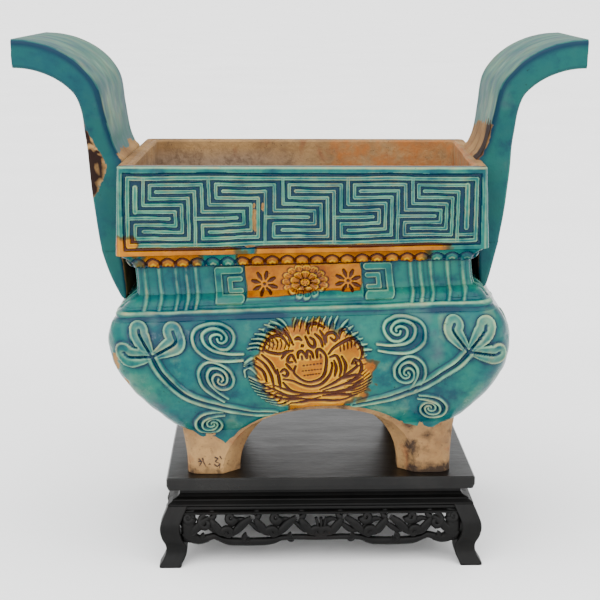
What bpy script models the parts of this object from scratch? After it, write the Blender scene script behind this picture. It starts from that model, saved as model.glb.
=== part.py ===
"""Rectangular glazed incense burner on a carved wooden stand.

The burner is one fired piece: a hollow body whose outline is a stack of rounded rectangles, four
feet left by two arched tunnels, and two strap handles. The stand is a board on a waist, four pierced
skirts and four curved legs. Metres, +Z up, the front faces -Y, the floor is Z = 0, and the origin
is under the middle of the whole.
"""
import math

import bmesh
import bpy
from mathutils import Vector

# Clearance between pieces that touch
CLEARANCE = 0.0003

# Stand
STAND_HEIGHT = 0.071
BOARD_HALF_X = 0.120
BOARD_HALF_Y = 0.097
BOARD_THICK = 0.010
BOARD_BEVEL = 0.0012
WAIST_HEIGHT = 0.0125
WAIST_INSET = 0.010
WAIST_FLARE = 0.009
WAIST_THICK = 0.018
LEG_THICK = 0.0155
LEG_KNEE_OUT = 0.0065
LEG_ANKLE_OUT = 0.002
LEG_TOE_OUT = 0.0075
SKIRT_THICK = 0.006
SKIRT_INSET = 0.002
SKIRT_DROP = 0.031
SKIRT_LOBE = 0.006

# Burner, heights above the underside of its feet
FOOT_HALF_X = 0.103
FOOT_HALF_Y = 0.080
FOOT_HEIGHT = 0.039
FOOT_FLARE = 0.004
BELLY_HALF_X = 0.1522
BELLY_HALF_Y = 0.1138
BELLY_MIDDLE = 0.110
BELLY_CORNER = 0.028
SHOULDER_HEIGHT = 0.1375
NECK_HALF_X = 0.126
NECK_HALF_Y = 0.087
NECK_BOTTOM = 0.1465
NECK_TOP = 0.1660
NECK_CORNER = 0.005
RIM_OVERHANG_X = 0.0135
RIM_OVERHANG_Y = 0.0115
RIM_HALF_X = NECK_HALF_X + RIM_OVERHANG_X
RIM_HALF_Y = NECK_HALF_Y + RIM_OVERHANG_Y
RIM_BOTTOM = 0.1750
RIM_HEIGHT = 0.2425
RIM_TAPER = 0.0025
WALL = 0.011
FLOOR_THICK = 0.011

# Arched tunnels that leave the four feet
ARCH_HALF_X = 0.062
ARCH_HALF_Y = 0.055
ARCH_HEIGHT = 0.0562
ARCH_POWER = 2.2
ARCH_SPLAY_X = 0.0130
ARCH_SPLAY_Y = 0.0070
ARCH_SPLAY_TOP = 0.0012
ARCH_SPLAY_DEPTH = 0.0120

# Key fret panels
PANEL_BORDER = 0.0085
PANEL_DEPTH = 0.0020
FRET_RISE = 0.0016
FRET_WIDTH = 0.0031
FRET_UNIT = 0.0485

# Neck carving and the row of scallops
RIB_WIDTH = 0.0042
RIB_RISE = 0.0013
PLAQUE_HALF = 0.0440
FLOWER_RADIUS = 0.0090
COVE_STEP = 0.0030
SCALLOP_WIDTH = 0.0110
SCALLOP_LINE = 0.0030
SCALLOP_RISE = 0.0014

# Belly carving
STRAP_WIDTH = 0.0046
STRAP_FLAT = 0.55
STRAP_RISE = 0.0024
LEAF_RISE = 0.0028
CARVING_ROOT = 0.0030
LOTUS_HALF_X = 0.045
LOTUS_HALF_Z = 0.034
LOTUS_RISE = 0.0045

# Handles
HANDLE_HALF_Y = 0.054
HANDLE_FLARE = 0.022
HANDLE_THICK = 0.0220
HANDLE_TIP_THICK = 0.0215
HANDLE_RISE = 0.0915
HANDLE_REACH = 0.0742
HANDLE_DROP = 0.0365
HANDLE_GAP = 0.0110
HANDLE_END = 0.0060

# Hand-made warp: sideways lean of the rim, upward slope of the belly to the right, turn of the rim
LEAN = -0.013
SLOPE = 0.037
TURN = math.radians(-2.3)

# Where the burner stands on the board: height of its feet, and offset from the board's middle
BURNER_BASE = STAND_HEIGHT + CLEARANCE
BURNER_SHIFT_X = -0.001
BURNER_SHIFT_Y = -0.006

# Faces that differ by less than this angle are merged after carving
COPLANAR = math.radians(0.5)


def clear_scene():
    for item in list(bpy.data.objects):
        bpy.data.objects.remove(item, do_unlink=True)


def make_material(name, colour, roughness, metallic=0.0):
    made = bpy.data.materials.new(name)
    made.use_nodes = True
    shader = made.node_tree.nodes["Principled BSDF"]
    shader.inputs["Base Color"].default_value = (*colour, 1.0)
    shader.inputs["Roughness"].default_value = roughness
    shader.inputs["Metallic"].default_value = metallic
    made.diffuse_color = (*colour, 1.0)
    return made


def make_object(name, mesh, finish):
    thing = bpy.data.objects.new(name, mesh)
    bpy.context.scene.collection.objects.link(thing)
    mesh.materials.append(finish)
    return thing


def smooth_step(share):
    share = min(max(share, 0.0), 1.0)
    return share * share * (3.0 - 2.0 * share)


def mesh_from_rings(name, rings, closed=False):
    """Skin a list of equal rings of points; the ends are capped, or joined when closed is true."""
    work = bmesh.new()
    loops = []
    for ring in rings:
        loops.append([work.verts.new(point) for point in ring])
    pairs = list(zip(loops, loops[1:]))
    if closed:
        pairs.append((loops[-1], loops[0]))
    for low, high in pairs:
        count = len(low)
        for index in range(count):
            after = (index + 1) % count
            work.faces.new((low[index], low[after], high[after], high[index]))
    if not closed:
        work.faces.new(list(reversed(loops[0])))
        work.faces.new(loops[-1])
    work.normal_update()
    bmesh.ops.triangulate(work, faces=work.faces[:], ngon_method="EAR_CLIP")
    bmesh.ops.recalc_face_normals(work, faces=work.faces[:])
    mesh = bpy.data.meshes.new(name)
    work.to_mesh(mesh)
    work.free()
    return mesh


def tidy_mesh(mesh):
    """Merge coplanar faces left by a Boolean, then make triangles."""
    work = bmesh.new()
    work.from_mesh(mesh)
    bmesh.ops.dissolve_limit(work, angle_limit=COPLANAR, verts=work.verts[:], edges=work.edges[:])
    work.normal_update()
    bmesh.ops.triangulate(work, faces=work.faces[:], ngon_method="EAR_CLIP")
    work.to_mesh(mesh)
    work.free()


def combine(base, tools, operation):
    """Cut or unite a list of closed meshes with an object by one exact Boolean."""
    group = bpy.data.collections.new("tools")
    bpy.context.scene.collection.children.link(group)
    for index, mesh in enumerate(tools):
        tool = bpy.data.objects.new(f"tool_{index}", mesh)
        tool.hide_render = True
        tool.display_type = "WIRE"
        group.objects.link(tool)
    modifier = base.modifiers.new("Carving", "BOOLEAN")
    modifier.operation = operation
    modifier.solver = "EXACT"
    modifier.operand_type = "COLLECTION"
    modifier.collection = group
    graph = bpy.context.evaluated_depsgraph_get()
    result = bpy.data.meshes.new_from_object(base.evaluated_get(graph))
    base.modifiers.clear()
    base.data = result
    for tool in list(group.objects):
        bpy.data.objects.remove(tool, do_unlink=True)
    bpy.data.collections.remove(group)


def side_offsets(path, closed):
    """Unit sideways vectors along a flat path, lengthened at the corners so that width stays even."""
    count = len(path)
    offsets = []
    for index in range(count):
        before = path[index - 1] if closed or index > 0 else None
        after = path[(index + 1) % count] if closed or index < count - 1 else None
        here = path[index]
        normals = []
        if before is not None:
            step = (here - before).normalized()
            normals.append(Vector((-step.y, step.x)))
        if after is not None:
            step = (after - here).normalized()
            normals.append(Vector((-step.y, step.x)))
        middle = sum(normals, Vector((0.0, 0.0))).normalized()
        stretch = 1.0 / max(middle.dot(normals[0]), 0.5)
        offsets.append(middle * stretch)
    return offsets


def ridge(path, width, rise, sink, place, closed=False, taper=0.0, flat=0.0):
    """A raised line: a section swept along a flat path and laid on a surface.

    The section is three-cornered, or four-cornered with a flat top of the given share.
    """
    points = [Vector(point) for point in path]
    offsets = side_offsets(points, closed)
    rings = []
    last = max(len(points) - 1, 1)
    for index, (point, offset) in enumerate(zip(points, offsets)):
        half = 0.5 * width * (1.0 - taper * index / last)
        left = point + offset * half
        right = point - offset * half
        if flat > 0.0:
            upper_left = point + offset * half * flat
            upper_right = point - offset * half * flat
            crest = [
                place(upper_left.x, upper_left.y, rise),
                place(upper_right.x, upper_right.y, rise),
            ]
        else:
            crest = [place(point.x, point.y, rise)]
        low_left = place(left.x, left.y, -sink)
        low_right = place(right.x, right.y, -sink)
        rings.append([low_left] + crest + [low_right])
    return mesh_from_rings("ridge", rings, closed)


def boss(outline, centre, rise, sink, place, crown=0.0, shrink=0.72):
    """A low carved form: an outline with sloping walls under a flat or crowned top."""
    middle = Vector(centre)
    low = []
    high = []
    for point in outline:
        edge = Vector(point)
        inner = middle.lerp(edge, shrink)
        low.append(place(edge.x, edge.y, -sink))
        high.append(place(inner.x, inner.y, rise))
    mesh = mesh_from_rings("boss", [low, high])
    if crown > 0.0:
        work = bmesh.new()
        base = [work.verts.new(point) for point in low]
        brow = [work.verts.new(point) for point in high]
        peak = work.verts.new(place(middle.x, middle.y, rise + crown))
        for index in range(len(base)):
            after = (index + 1) % len(base)
            work.faces.new((base[index], base[after], brow[after], brow[index]))
            work.faces.new((brow[index], brow[after], peak))
        work.faces.new(list(reversed(base)))
        work.normal_update()
        bmesh.ops.triangulate(work, faces=work.faces[:], ngon_method="EAR_CLIP")
        bmesh.ops.recalc_face_normals(work, faces=work.faces[:])
        work.to_mesh(mesh)
        work.free()
    return mesh


def leaf_outline(root, tip, half_width, steps=3):
    """A petal or leaf: two curved edges from root to tip."""
    start = Vector(root)
    along = Vector(tip) - start
    across = Vector((-along.y, along.x)).normalized()
    outline = [start]
    for index in range(1, steps + 1):
        share = index / (steps + 1)
        bulge = math.sin(math.pi * share ** 0.85)
        outline.append(start + along * share + across * half_width * bulge)
    outline.append(start + along)
    for index in range(steps, 0, -1):
        share = index / (steps + 1)
        bulge = math.sin(math.pi * share ** 0.85)
        outline.append(start + along * share - across * half_width * bulge)
    return outline


def spiral_path(centre, radius, turns, start, direction, steps, core=0.22):
    """Points of a scroll that winds in from its rim to its eye; angles are in turns."""
    path = []
    for index in range(steps + 1):
        share = index / steps
        angle = 2.0 * math.pi * (start + direction * turns * share)
        reach = radius * (1.0 - (1.0 - core) * share)
        path.append((centre[0] + reach * math.cos(angle), centre[1] + reach * math.sin(angle)))
    return path


# Burner outline

def half_widths(height):
    """Half width, half depth and corner radius of the burner's outside at a height."""
    if height <= FOOT_HEIGHT:
        share = height / FOOT_HEIGHT
        half_x = FOOT_HALF_X + FOOT_FLARE * share ** 2
        half_y = FOOT_HALF_Y + FOOT_FLARE * share ** 2
        return half_x, half_y, 0.010 + 0.006 * share
    if height <= BELLY_MIDDLE:
        share = (height - FOOT_HEIGHT) / (BELLY_MIDDLE - FOOT_HEIGHT)
        swell = math.sin(0.5 * math.pi * share) ** 0.93
        low_x = FOOT_HALF_X + FOOT_FLARE
        low_y = FOOT_HALF_Y + FOOT_FLARE
        corner = 0.016 + (BELLY_CORNER - 0.016) * share
        half_x = low_x + (BELLY_HALF_X - low_x) * swell
        half_y = low_y + (BELLY_HALF_Y - low_y) * swell
        return half_x, half_y, corner
    if height <= NECK_BOTTOM:
        share = (height - BELLY_MIDDLE) / (NECK_BOTTOM - BELLY_MIDDLE)
        swell = max(math.cos(0.5 * math.pi * share), 0.0) ** 0.7
        half_x = NECK_HALF_X + (BELLY_HALF_X - NECK_HALF_X) * swell
        half_y = NECK_HALF_Y + (BELLY_HALF_Y - NECK_HALF_Y) * swell
        return half_x, half_y, BELLY_CORNER + (NECK_CORNER - BELLY_CORNER) * share
    if height <= NECK_TOP:
        return NECK_HALF_X, NECK_HALF_Y, NECK_CORNER
    if height < RIM_BOTTOM:
        share = (height - NECK_TOP) / (RIM_BOTTOM - NECK_TOP)
        lip = COVE_STEP + (0.72 * RIM_OVERHANG_X - COVE_STEP) * share
        return NECK_HALF_X + lip, NECK_HALF_Y + lip, NECK_CORNER
    share = (height - RIM_BOTTOM) / (RIM_HEIGHT - RIM_BOTTOM)
    return RIM_HALF_X - RIM_TAPER * share, RIM_HALF_Y, NECK_CORNER


def ring_points(half_x, half_y, corner, height, steps=3):
    points = []
    for turn, (sign_x, sign_y) in enumerate(((1, -1), (1, 1), (-1, 1), (-1, -1))):
        for index in range(steps + 1):
            angle = 0.5 * math.pi * (turn - 1 + index / steps)
            x = sign_x * (half_x - corner) + corner * math.cos(angle)
            y = sign_y * (half_y - corner) + corner * math.sin(angle)
            points.append(Vector((x, y, height)))
    return points


def around(side, distance, half_x, half_y, corner):
    """Point and outward direction on a rounded rectangle, by distance from a side's middle."""
    reach, depth = (half_x, half_y) if side in ("front", "back") else (half_y, half_x)
    flat = reach - corner
    sign = 1.0 if distance >= 0.0 else -1.0
    along = abs(distance)
    if along <= flat:
        point = Vector((distance, -depth, 0.0))
        outward = Vector((0.0, -1.0, 0.0))
    else:
        angle = min((along - flat) / corner, 0.5 * math.pi)
        outward = Vector((sign * math.sin(angle), -math.cos(angle), 0.0))
        point = Vector((sign * flat, corner - depth, 0.0)) + outward * corner
    quarter = {"front": 0, "right": 1, "back": 2, "left": 3}[side]
    for _ in range(quarter):
        point = Vector((-point.y, point.x, 0.0))
        outward = Vector((-outward.y, outward.x, 0.0))
    return point, outward


def on_body(side):
    """Placing function for one side of the body: distance along, height and lift to a point."""
    def place(distance, height, lift):
        point, outward = around(side, distance, *half_widths(height))
        nudge = 0.0005
        above = around(side, distance, *half_widths(height + nudge))[0]
        below = around(side, distance, *half_widths(height - nudge))[0]
        climb = (above - below).dot(outward) / (2.0 * nudge)
        tilt = Vector((outward.x, outward.y, -climb)).normalized()
        return Vector((point.x, point.y, height)) + tilt * lift
    return place


def on_flat(side, half_x, half_y):
    """Placing function for an upright plane on one side."""
    depth = half_y if side in ("front", "back") else half_x

    def place(distance, height, lift):
        point = Vector((distance, -(depth + lift), height))
        quarter = {"front": 0, "right": 1, "back": 2, "left": 3}[side]
        for _ in range(quarter):
            point = Vector((-point.y, point.x, point.z))
        return point
    return place


def body_mesh():
    outside = [0.0, 0.5 * FOOT_HEIGHT, FOOT_HEIGHT]
    for share in (0.09, 0.21, 0.36, 0.54, 0.76, 1.0):
        outside.append(FOOT_HEIGHT + (BELLY_MIDDLE - FOOT_HEIGHT) * share)
    for share in (0.36, 0.64, 0.85, 0.96, 1.0):
        outside.append(BELLY_MIDDLE + (NECK_BOTTOM - BELLY_MIDDLE) * share)
    outside += [NECK_TOP, NECK_TOP + 0.0002, RIM_BOTTOM - 0.0001, RIM_BOTTOM, RIM_HEIGHT]
    rings = [ring_points(*half_widths(height), height) for height in outside]
    floor = ARCH_HEIGHT + FLOOR_THICK
    inside = [RIM_HEIGHT, RIM_BOTTOM, NECK_TOP, NECK_BOTTOM]
    for share in (0.75, 0.36, 0.0):
        inside.append(BELLY_MIDDLE + (NECK_BOTTOM - BELLY_MIDDLE) * share)
    for share in (0.50, 0.14):
        inside.append(floor + (BELLY_MIDDLE - floor) * share)
    for height in inside:
        half_x, half_y, corner = half_widths(height)
        rings.append(ring_points(half_x - WALL, half_y - WALL, max(corner - WALL, 0.006), height))
    half_x, half_y, corner = half_widths(floor)
    rings.append(ring_points(half_x - 2.4 * WALL, half_y - 2.4 * WALL, 0.012, floor))
    return mesh_from_rings("burner", rings)


def arch_outline(half_width, top):
    """A half superellipse on a straight foot, as pairs of distance across and height."""
    outline = [(half_width, -0.01)]
    steps = 10
    for index in range(steps + 1):
        angle = math.pi * index / steps
        across = abs(math.cos(angle)) ** (2.0 / ARCH_POWER)
        up = math.sin(angle) ** (2.0 / ARCH_POWER) if 0 < index < steps else 0.0
        outline.append((math.copysign(half_width * across, math.cos(angle)), top * up))
    outline.append((-half_width, -0.01))
    return outline


def arch_tunnel(half_width, splay, foot_half, along_y):
    """An arched prism run right through the body, splayed wider at both mouths."""
    reach = BELLY_HALF_X + 0.05
    inner = foot_half - ARCH_SPLAY_DEPTH
    wide = arch_outline(half_width + splay, ARCH_HEIGHT + ARCH_SPLAY_TOP)
    narrow = arch_outline(half_width, ARCH_HEIGHT)
    stations = ((-reach, wide), (-foot_half, wide), (-inner, narrow), (inner, narrow), (foot_half, wide),
                (reach, wide))
    rings = []
    for end, outline in stations:
        if along_y:
            rings.append([Vector((across, end, up)) for across, up in outline])
        else:
            rings.append([Vector((end, across, up)) for across, up in outline])
    return mesh_from_rings("tunnel", rings)


# Handles

def handle_stations():
    """Pairs of outer and inner points of the strap, from its free lower end to its tip."""
    side = RIM_HALF_X
    top = RIM_HEIGHT
    low = RIM_BOTTOM - HANDLE_DROP
    free = NECK_HALF_X + HANDLE_GAP
    face = side + HANDLE_THICK
    tip = side + HANDLE_REACH
    crest = top + HANDLE_RISE
    buried = side - 0.5 * WALL
    stations = [
        ((free + 0.0035, low), (free + 0.0018, low)),
        ((free + HANDLE_END, low + 0.003), (free + 0.0002, low + 0.0045)),
        ((free + HANDLE_END + 0.0045, low + 0.015), (free, low + 0.015)),
        ((face - 0.0080, RIM_BOTTOM - 0.0015), (free, RIM_BOTTOM - 0.0015)),
        ((face - 0.0074, RIM_BOTTOM + 0.002), (buried, RIM_BOTTOM + 0.002)),
        ((face - 0.0030, RIM_BOTTOM + 0.45 * (top - RIM_BOTTOM)), (buried, top - 0.035)),
        ((face, top - 0.004), (buried, top - 0.004)),
        ((face + 0.0008, top + 0.009), (side - 0.0010, top + 0.004)),
        ((face + 0.0018, top + 0.022), (side + 0.0030, top + 0.014)),
        ((face + 0.0030, top + 0.036), (side + 0.0070, top + 0.034)),
    ]
    bend_x = face + 0.0030
    bend_z = top + 0.036
    for share in (0.20, 0.38, 0.55, 0.72, 0.87, 1.0):
        angle = 0.5 * math.pi * share
        lower_x = bend_x + (tip - bend_x) * (1.0 - math.cos(angle)) ** 0.85
        lower_z = bend_z + (crest - HANDLE_TIP_THICK - bend_z) * math.sin(angle) ** 0.85
        upper_x = side + 0.0070 + (tip - side - 0.0070) * (1.0 - math.cos(angle)) ** 0.95
        upper_z = top + 0.034 + (HANDLE_RISE - 0.034) * math.sin(angle) ** 0.84
        stations.append(((lower_x, lower_z), (upper_x, upper_z)))
    return stations


def handle_mesh(sign):
    rings = []
    for outer, inner in handle_stations():
        ring = []
        for x, z in (outer, inner):
            spread = HANDLE_HALF_Y
            spread += HANDLE_FLARE * smooth_step((z - RIM_HEIGHT) / HANDLE_RISE) ** 0.8
            ring.append((x, spread, z))
        (out_x, out_y, out_z), (in_x, in_y, in_z) = ring
        corners = [
            Vector((sign * out_x, -out_y, out_z)),
            Vector((sign * out_x, out_y, out_z)),
            Vector((sign * in_x, in_y, in_z)),
            Vector((sign * in_x, -in_y, in_z)),
        ]
        rings.append(corners)
    return mesh_from_rings("handle", rings)


# Rim panels

def panel_field(side):
    """Half width, bottom and top of the sunk field of one rim panel."""
    reach = RIM_HALF_X - RIM_TAPER if side in ("front", "back") else RIM_HALF_Y
    return reach - PANEL_BORDER + 0.002, RIM_BOTTOM + PANEL_BORDER, RIM_HEIGHT - PANEL_BORDER


def panel_recess(side):
    half, bottom, top = panel_field(side)
    place = on_flat(side, RIM_HALF_X - RIM_TAPER, RIM_HALF_Y)
    rings = []
    for lift in (-PANEL_DEPTH, 0.01):
        corners = ((-half, bottom), (half, bottom), (half, top), (-half, top))
        rings.append([place(x, z, lift) for x, z in corners])
    return mesh_from_rings("recess", rings)


def fret_paths(units):
    """Key fret on a grid: columns run right, rows run down, ten of each to a unit."""
    paths = [[(0, 10), (0, 2)]]
    snake = [(1, 1.3)]
    for unit in range(units):
        start = 10 * unit
        paths.append([(start + 10, 10), (start + 10, 2), (start + 4, 2)])
        paths.append([(start, 6), (start + 6, 6)])
        paths.append([(start + c, r) for c, r in ((2, 0), (2, 4), (8, 4), (8, 8), (2, 8))])
        turns = ((1, 5), (7, 5), (7, 7), (1, 7), (1, 9), (9, 9), (9, 3), (3, 3), (3, 1), (11, 1))
        snake += [(start + c, r) for c, r in turns]
    end = 10 * units
    snake.append((end + 1, 8))
    paths.append(snake)
    paths.append([(end, 9), (end + 2, 9), (end + 2, 0)])
    return paths


def fret_ridges(side):
    half, bottom, top = panel_field(side)
    inner = 0.003
    left = -half + inner
    width = 2.0 * (half - inner)
    tall = top - bottom - 2.0 * inner
    units = max(int(round((width - 0.0145) / FRET_UNIT)), 1)
    columns = 10 * units + 3.6
    place = on_flat(side, RIM_HALF_X - RIM_TAPER, RIM_HALF_Y)
    sunk = PANEL_DEPTH

    def lay(x, z, lift):
        return place(x, z, lift - sunk)

    def grid(column, row):
        return (left + width * (column + 0.6) / (columns + 0.6), top - inner - tall * row / 10.0)

    frame = [(left, bottom + inner), (left + width, bottom + inner)]
    frame += [(left + width, top - inner), (left, top - inner)]
    meshes = [ridge(frame, FRET_WIDTH, FRET_RISE + 0.0002, 0.0012, lay, closed=True)]
    if side in ("left", "right"):
        return meshes + side_keys(left, left + width, bottom + inner, top - inner, lay)
    for path in fret_paths(units):
        line = [grid(column, row) for column, row in path]
        meshes.append(ridge(line, FRET_WIDTH, FRET_RISE, 0.0012, lay))
    return meshes


def side_keys(left, right, bottom, top, lay):
    """Squared hooks on the two parts of a side panel that the handle leaves free."""
    tall = top - bottom
    free = 0.5 * (right - left) - HANDLE_HALF_Y
    meshes = []
    for edge, sign in ((left, 1.0), (right, -1.0)):
        turns = (
            (0.20, 0.10), (0.20, 0.90), (0.80, 0.90), (0.80, 0.30),
            (0.42, 0.30), (0.42, 0.68), (0.62, 0.68),
        )
        line = [(edge + sign * free * across, bottom + tall * up) for across, up in turns]
        meshes.append(ridge(line, FRET_WIDTH, FRET_RISE, 0.0012, lay))
    return meshes


# Neck and scallops

def scallop_line(side):
    """A row of small raised arches on the cove under the rim."""
    reach = NECK_HALF_X if side in ("front", "back") else NECK_HALF_Y
    half = reach - 0.5 * NECK_CORNER
    count = max(int(round(2.0 * half / SCALLOP_WIDTH)), 2)
    step = 2.0 * half / count
    dip = NECK_TOP + 0.26 * (RIM_BOTTOM - NECK_TOP)
    crest = RIM_BOTTOM - 0.24 * (RIM_BOTTOM - NECK_TOP)
    path = []
    for index in range(count):
        start = -half + index * step
        path.append((start, dip))
        path.append((start + 0.5 * step, crest))
    path.append((half, dip))
    return ridge(path, SCALLOP_LINE, SCALLOP_RISE, 0.001, on_body(side))


def neck_carving(side, detailed):
    place = on_flat(side, NECK_HALF_X, NECK_HALF_Y)
    reach = NECK_HALF_X if side in ("front", "back") else NECK_HALF_Y
    low = NECK_BOTTOM + 0.001
    high = NECK_TOP + 0.001
    meshes = []
    if side in ("front", "back"):
        ribs = [share * reach for share in (0.643, 0.70, 0.762, 0.861, 0.951)]
        bracket = 0.515 * reach
        rise = 0.0014
        corners = [(PLAQUE_HALF, low), (PLAQUE_HALF, high), (-PLAQUE_HALF, high), (-PLAQUE_HALF, low)]
        meshes.append(boss(corners, (0.0, 0.5 * (low + high)), rise, 0.003, place))
        for sign in (-1.0, 1.0):
            edge = sign * (PLAQUE_HALF + 0.003)
            back = sign * bracket
            tall = high - low
            path = [(edge, high - 0.25 * tall), (back, high - 0.25 * tall)]
            path += [(back, low + 0.25 * tall), (edge, low + 0.25 * tall)]
            meshes.append(ridge(path, RIB_WIDTH, RIB_RISE, 0.0015, place))
    else:
        ribs = [share * reach for share in (0.12, 0.30, 0.50, 0.72, 0.93)]
    for distance in ribs:
        for sign in (-1.0, 1.0):
            path = [(sign * distance, low), (sign * distance, high)]
            meshes.append(ridge(path, RIB_WIDTH, RIB_RISE, 0.0015, place))
    if detailed:
        middle = 0.5 * (low + high)
        for petals, radius, rise in ((14, FLOWER_RADIUS, 0.0030), (8, 0.45 * FLOWER_RADIUS, 0.0045)):
            outline = []
            for index in range(petals):
                angle = 2.0 * math.pi * (index + 0.25) / petals
                outline.append((radius * math.cos(angle), middle + radius * math.sin(angle)))
            meshes.append(boss(outline, (0.0, middle), rise, 0.0005 * petals / 4.0, place))
    return meshes


def neck_flower_cuts(side):
    """Small eight-petalled flowers sunk in the plaque, one on each side of the raised flower."""
    place = on_flat(side, NECK_HALF_X, NECK_HALF_Y)
    middle = 0.5 * (NECK_BOTTOM + NECK_TOP) + 0.001
    meshes = []
    for sign in (-1.0, 1.0):
        centre = Vector((sign * 0.72 * PLAQUE_HALF, middle))
        for index in range(8):
            angle = math.pi * (index + 0.5) / 4.0
            heading = Vector((math.cos(angle), math.sin(angle)))
            outline = leaf_outline(centre + heading * 0.0022, centre + heading * 0.0082, 0.0012, 1)
            rings = []
            for lift in (0.0004, 0.004):
                rings.append([place(point.x, point.y, lift) for point in outline])
            meshes.append(mesh_from_rings("petal", rings))
    return meshes


# Belly carving, placed by shares of the belly's half width and of its carved height

def relief_point(side, share_x, share_z):
    reach = BELLY_HALF_X if side in ("front", "back") else BELLY_HALF_Y
    height = FOOT_HEIGHT + share_z * (SHOULDER_HEIGHT - FOOT_HEIGHT)
    return Vector((share_x * reach, height))


def relief_size(share):
    return share * (SHOULDER_HEIGHT - FOOT_HEIGHT)


def scroll(side, sign, centre, radius, turns, start, direction, steps, tail):
    """A scroll with its tail, mirrored by sign."""
    place = on_body(side)
    eye = relief_point(side, sign * centre[0], centre[1])
    begin = start if sign < 0 else 0.5 - start
    spin = direction if sign < 0 else -direction
    path = [Vector(point) for point in spiral_path(eye, relief_size(radius), turns, begin, spin, steps)]
    ends = [relief_point(side, sign * share_x, share_z) for share_x, share_z in tail]
    return ridge(ends + path, STRAP_WIDTH, STRAP_RISE, CARVING_ROOT, place, taper=0.35, flat=STRAP_FLAT)


def belly_carving(side, rich):
    place = on_body(side)
    meshes = []
    for sign in (-1.0, 1.0):
        if side in ("front", "back"):
            tail = [(0.345, 0.60), (0.40, 0.605)]
            meshes.append(scroll(side, sign, (0.440, 0.815), 0.130, 1.40, 0.70, -1, 11, tail))
            if rich:
                tail = [(0.43, 0.26), (0.475, 0.30)]
                meshes.append(scroll(side, sign, (0.465, 0.455), 0.112, 1.30, 0.60, -1, 9, tail))
                tail = [(0.47, 0.165)]
                meshes.append(scroll(side, sign, (0.550, 0.055), 0.100, 1.20, 0.20, 1, 8, tail))
            shares = ((0.765, 0.67), (0.735, 0.55), (0.665, 0.42), (0.57, 0.32), (0.45, 0.24), (0.33, 0.185))
            stem = [relief_point(side, sign * a, b) for a, b in shares]
            meshes.append(ridge(stem, STRAP_WIDTH, STRAP_RISE, CARVING_ROOT, place, flat=STRAP_FLAT))
            tips = ((0.945, 0.665), (0.850, 0.900), (0.685, 0.885))
            for share_x, share_z in tips:
                root = relief_point(side, sign * 0.770, 0.655)
                tip = relief_point(side, sign * share_x, share_z)
                outline = leaf_outline(root, tip, relief_size(0.095), 2)
                middle = root.lerp(tip, 0.55)
                meshes.append(boss(outline, middle, 0.7 * LEAF_RISE, CARVING_ROOT, place,
                                   crown=0.3 * LEAF_RISE, shrink=0.66))
        else:
            tail = [(0.10, 0.30), (0.20, 0.33)]
            meshes.append(scroll(side, sign, (0.330, 0.60), 0.150, 1.40, 0.65, -1, 10, tail))
    return meshes


def lotus_carving(side, rich):
    """A round flower: a low boss, rings of petals and a domed seed pod."""
    place = on_body(side)
    middle = relief_point(side, 0.0, 0.555)
    meshes = []
    outline = []
    rays = 14 if rich else 10
    for index in range(rays):
        angle = 2.0 * math.pi * index / rays
        edge = Vector((LOTUS_HALF_X * math.cos(angle), LOTUS_HALF_Z * math.sin(angle)))
        outline.append(middle + edge)
    meshes.append(boss(outline, middle, 0.0012, 1.5 * CARVING_ROOT, place))
    rings = ((9, 0.98, 0.40), (5, 0.60, 0.46)) if rich else ((6, 0.90, 0.44),)
    for ring, (count, reach, width) in enumerate(rings):
        for index in range(count):
            angle = 2.0 * math.pi * (index + 0.5 * ring) / count
            heading = Vector((LOTUS_HALF_X * math.cos(angle), LOTUS_HALF_Z * math.sin(angle)))
            petal = leaf_outline(middle + heading * 0.28 * reach, middle + heading * reach,
                                 LOTUS_HALF_Z * width * reach, 1)
            rise = 0.0022 + 0.0008 * ring
            centre = middle + heading * 0.62 * reach
            meshes.append(boss(petal, centre, rise, CARVING_ROOT, place, crown=0.0006, shrink=0.6))
    pod = []
    for index in range(8):
        angle = 0.25 * math.pi * index
        across = 0.27 * LOTUS_HALF_X * math.cos(angle)
        up = 0.30 * LOTUS_HALF_Z * math.sin(angle)
        pod.append(middle + Vector((across, up)))
    meshes.append(boss(pod, middle, LOTUS_RISE, CARVING_ROOT, place))
    return meshes


def warp(point):
    """Hand-made irregularity: the rim leans and turns on the feet and the belly slopes."""
    height = point.z
    sag = SLOPE * smooth_step((height - 0.1 * FOOT_HEIGHT) / (0.7 * FOOT_HEIGHT))
    sag *= 1.0 - smooth_step((height - SHOULDER_HEIGHT) / (RIM_HEIGHT - SHOULDER_HEIGHT))
    turn = TURN * smooth_step(height / RIM_BOTTOM)
    x = point.x * math.cos(turn) - point.y * math.sin(turn)
    y = point.x * math.sin(turn) + point.y * math.cos(turn)
    lean = LEAN * smooth_step((height - FOOT_HEIGHT) / (RIM_BOTTOM + 0.3 * FOOT_HEIGHT - FOOT_HEIGHT))
    return Vector((x + lean, y, height + sag * point.x))


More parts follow.
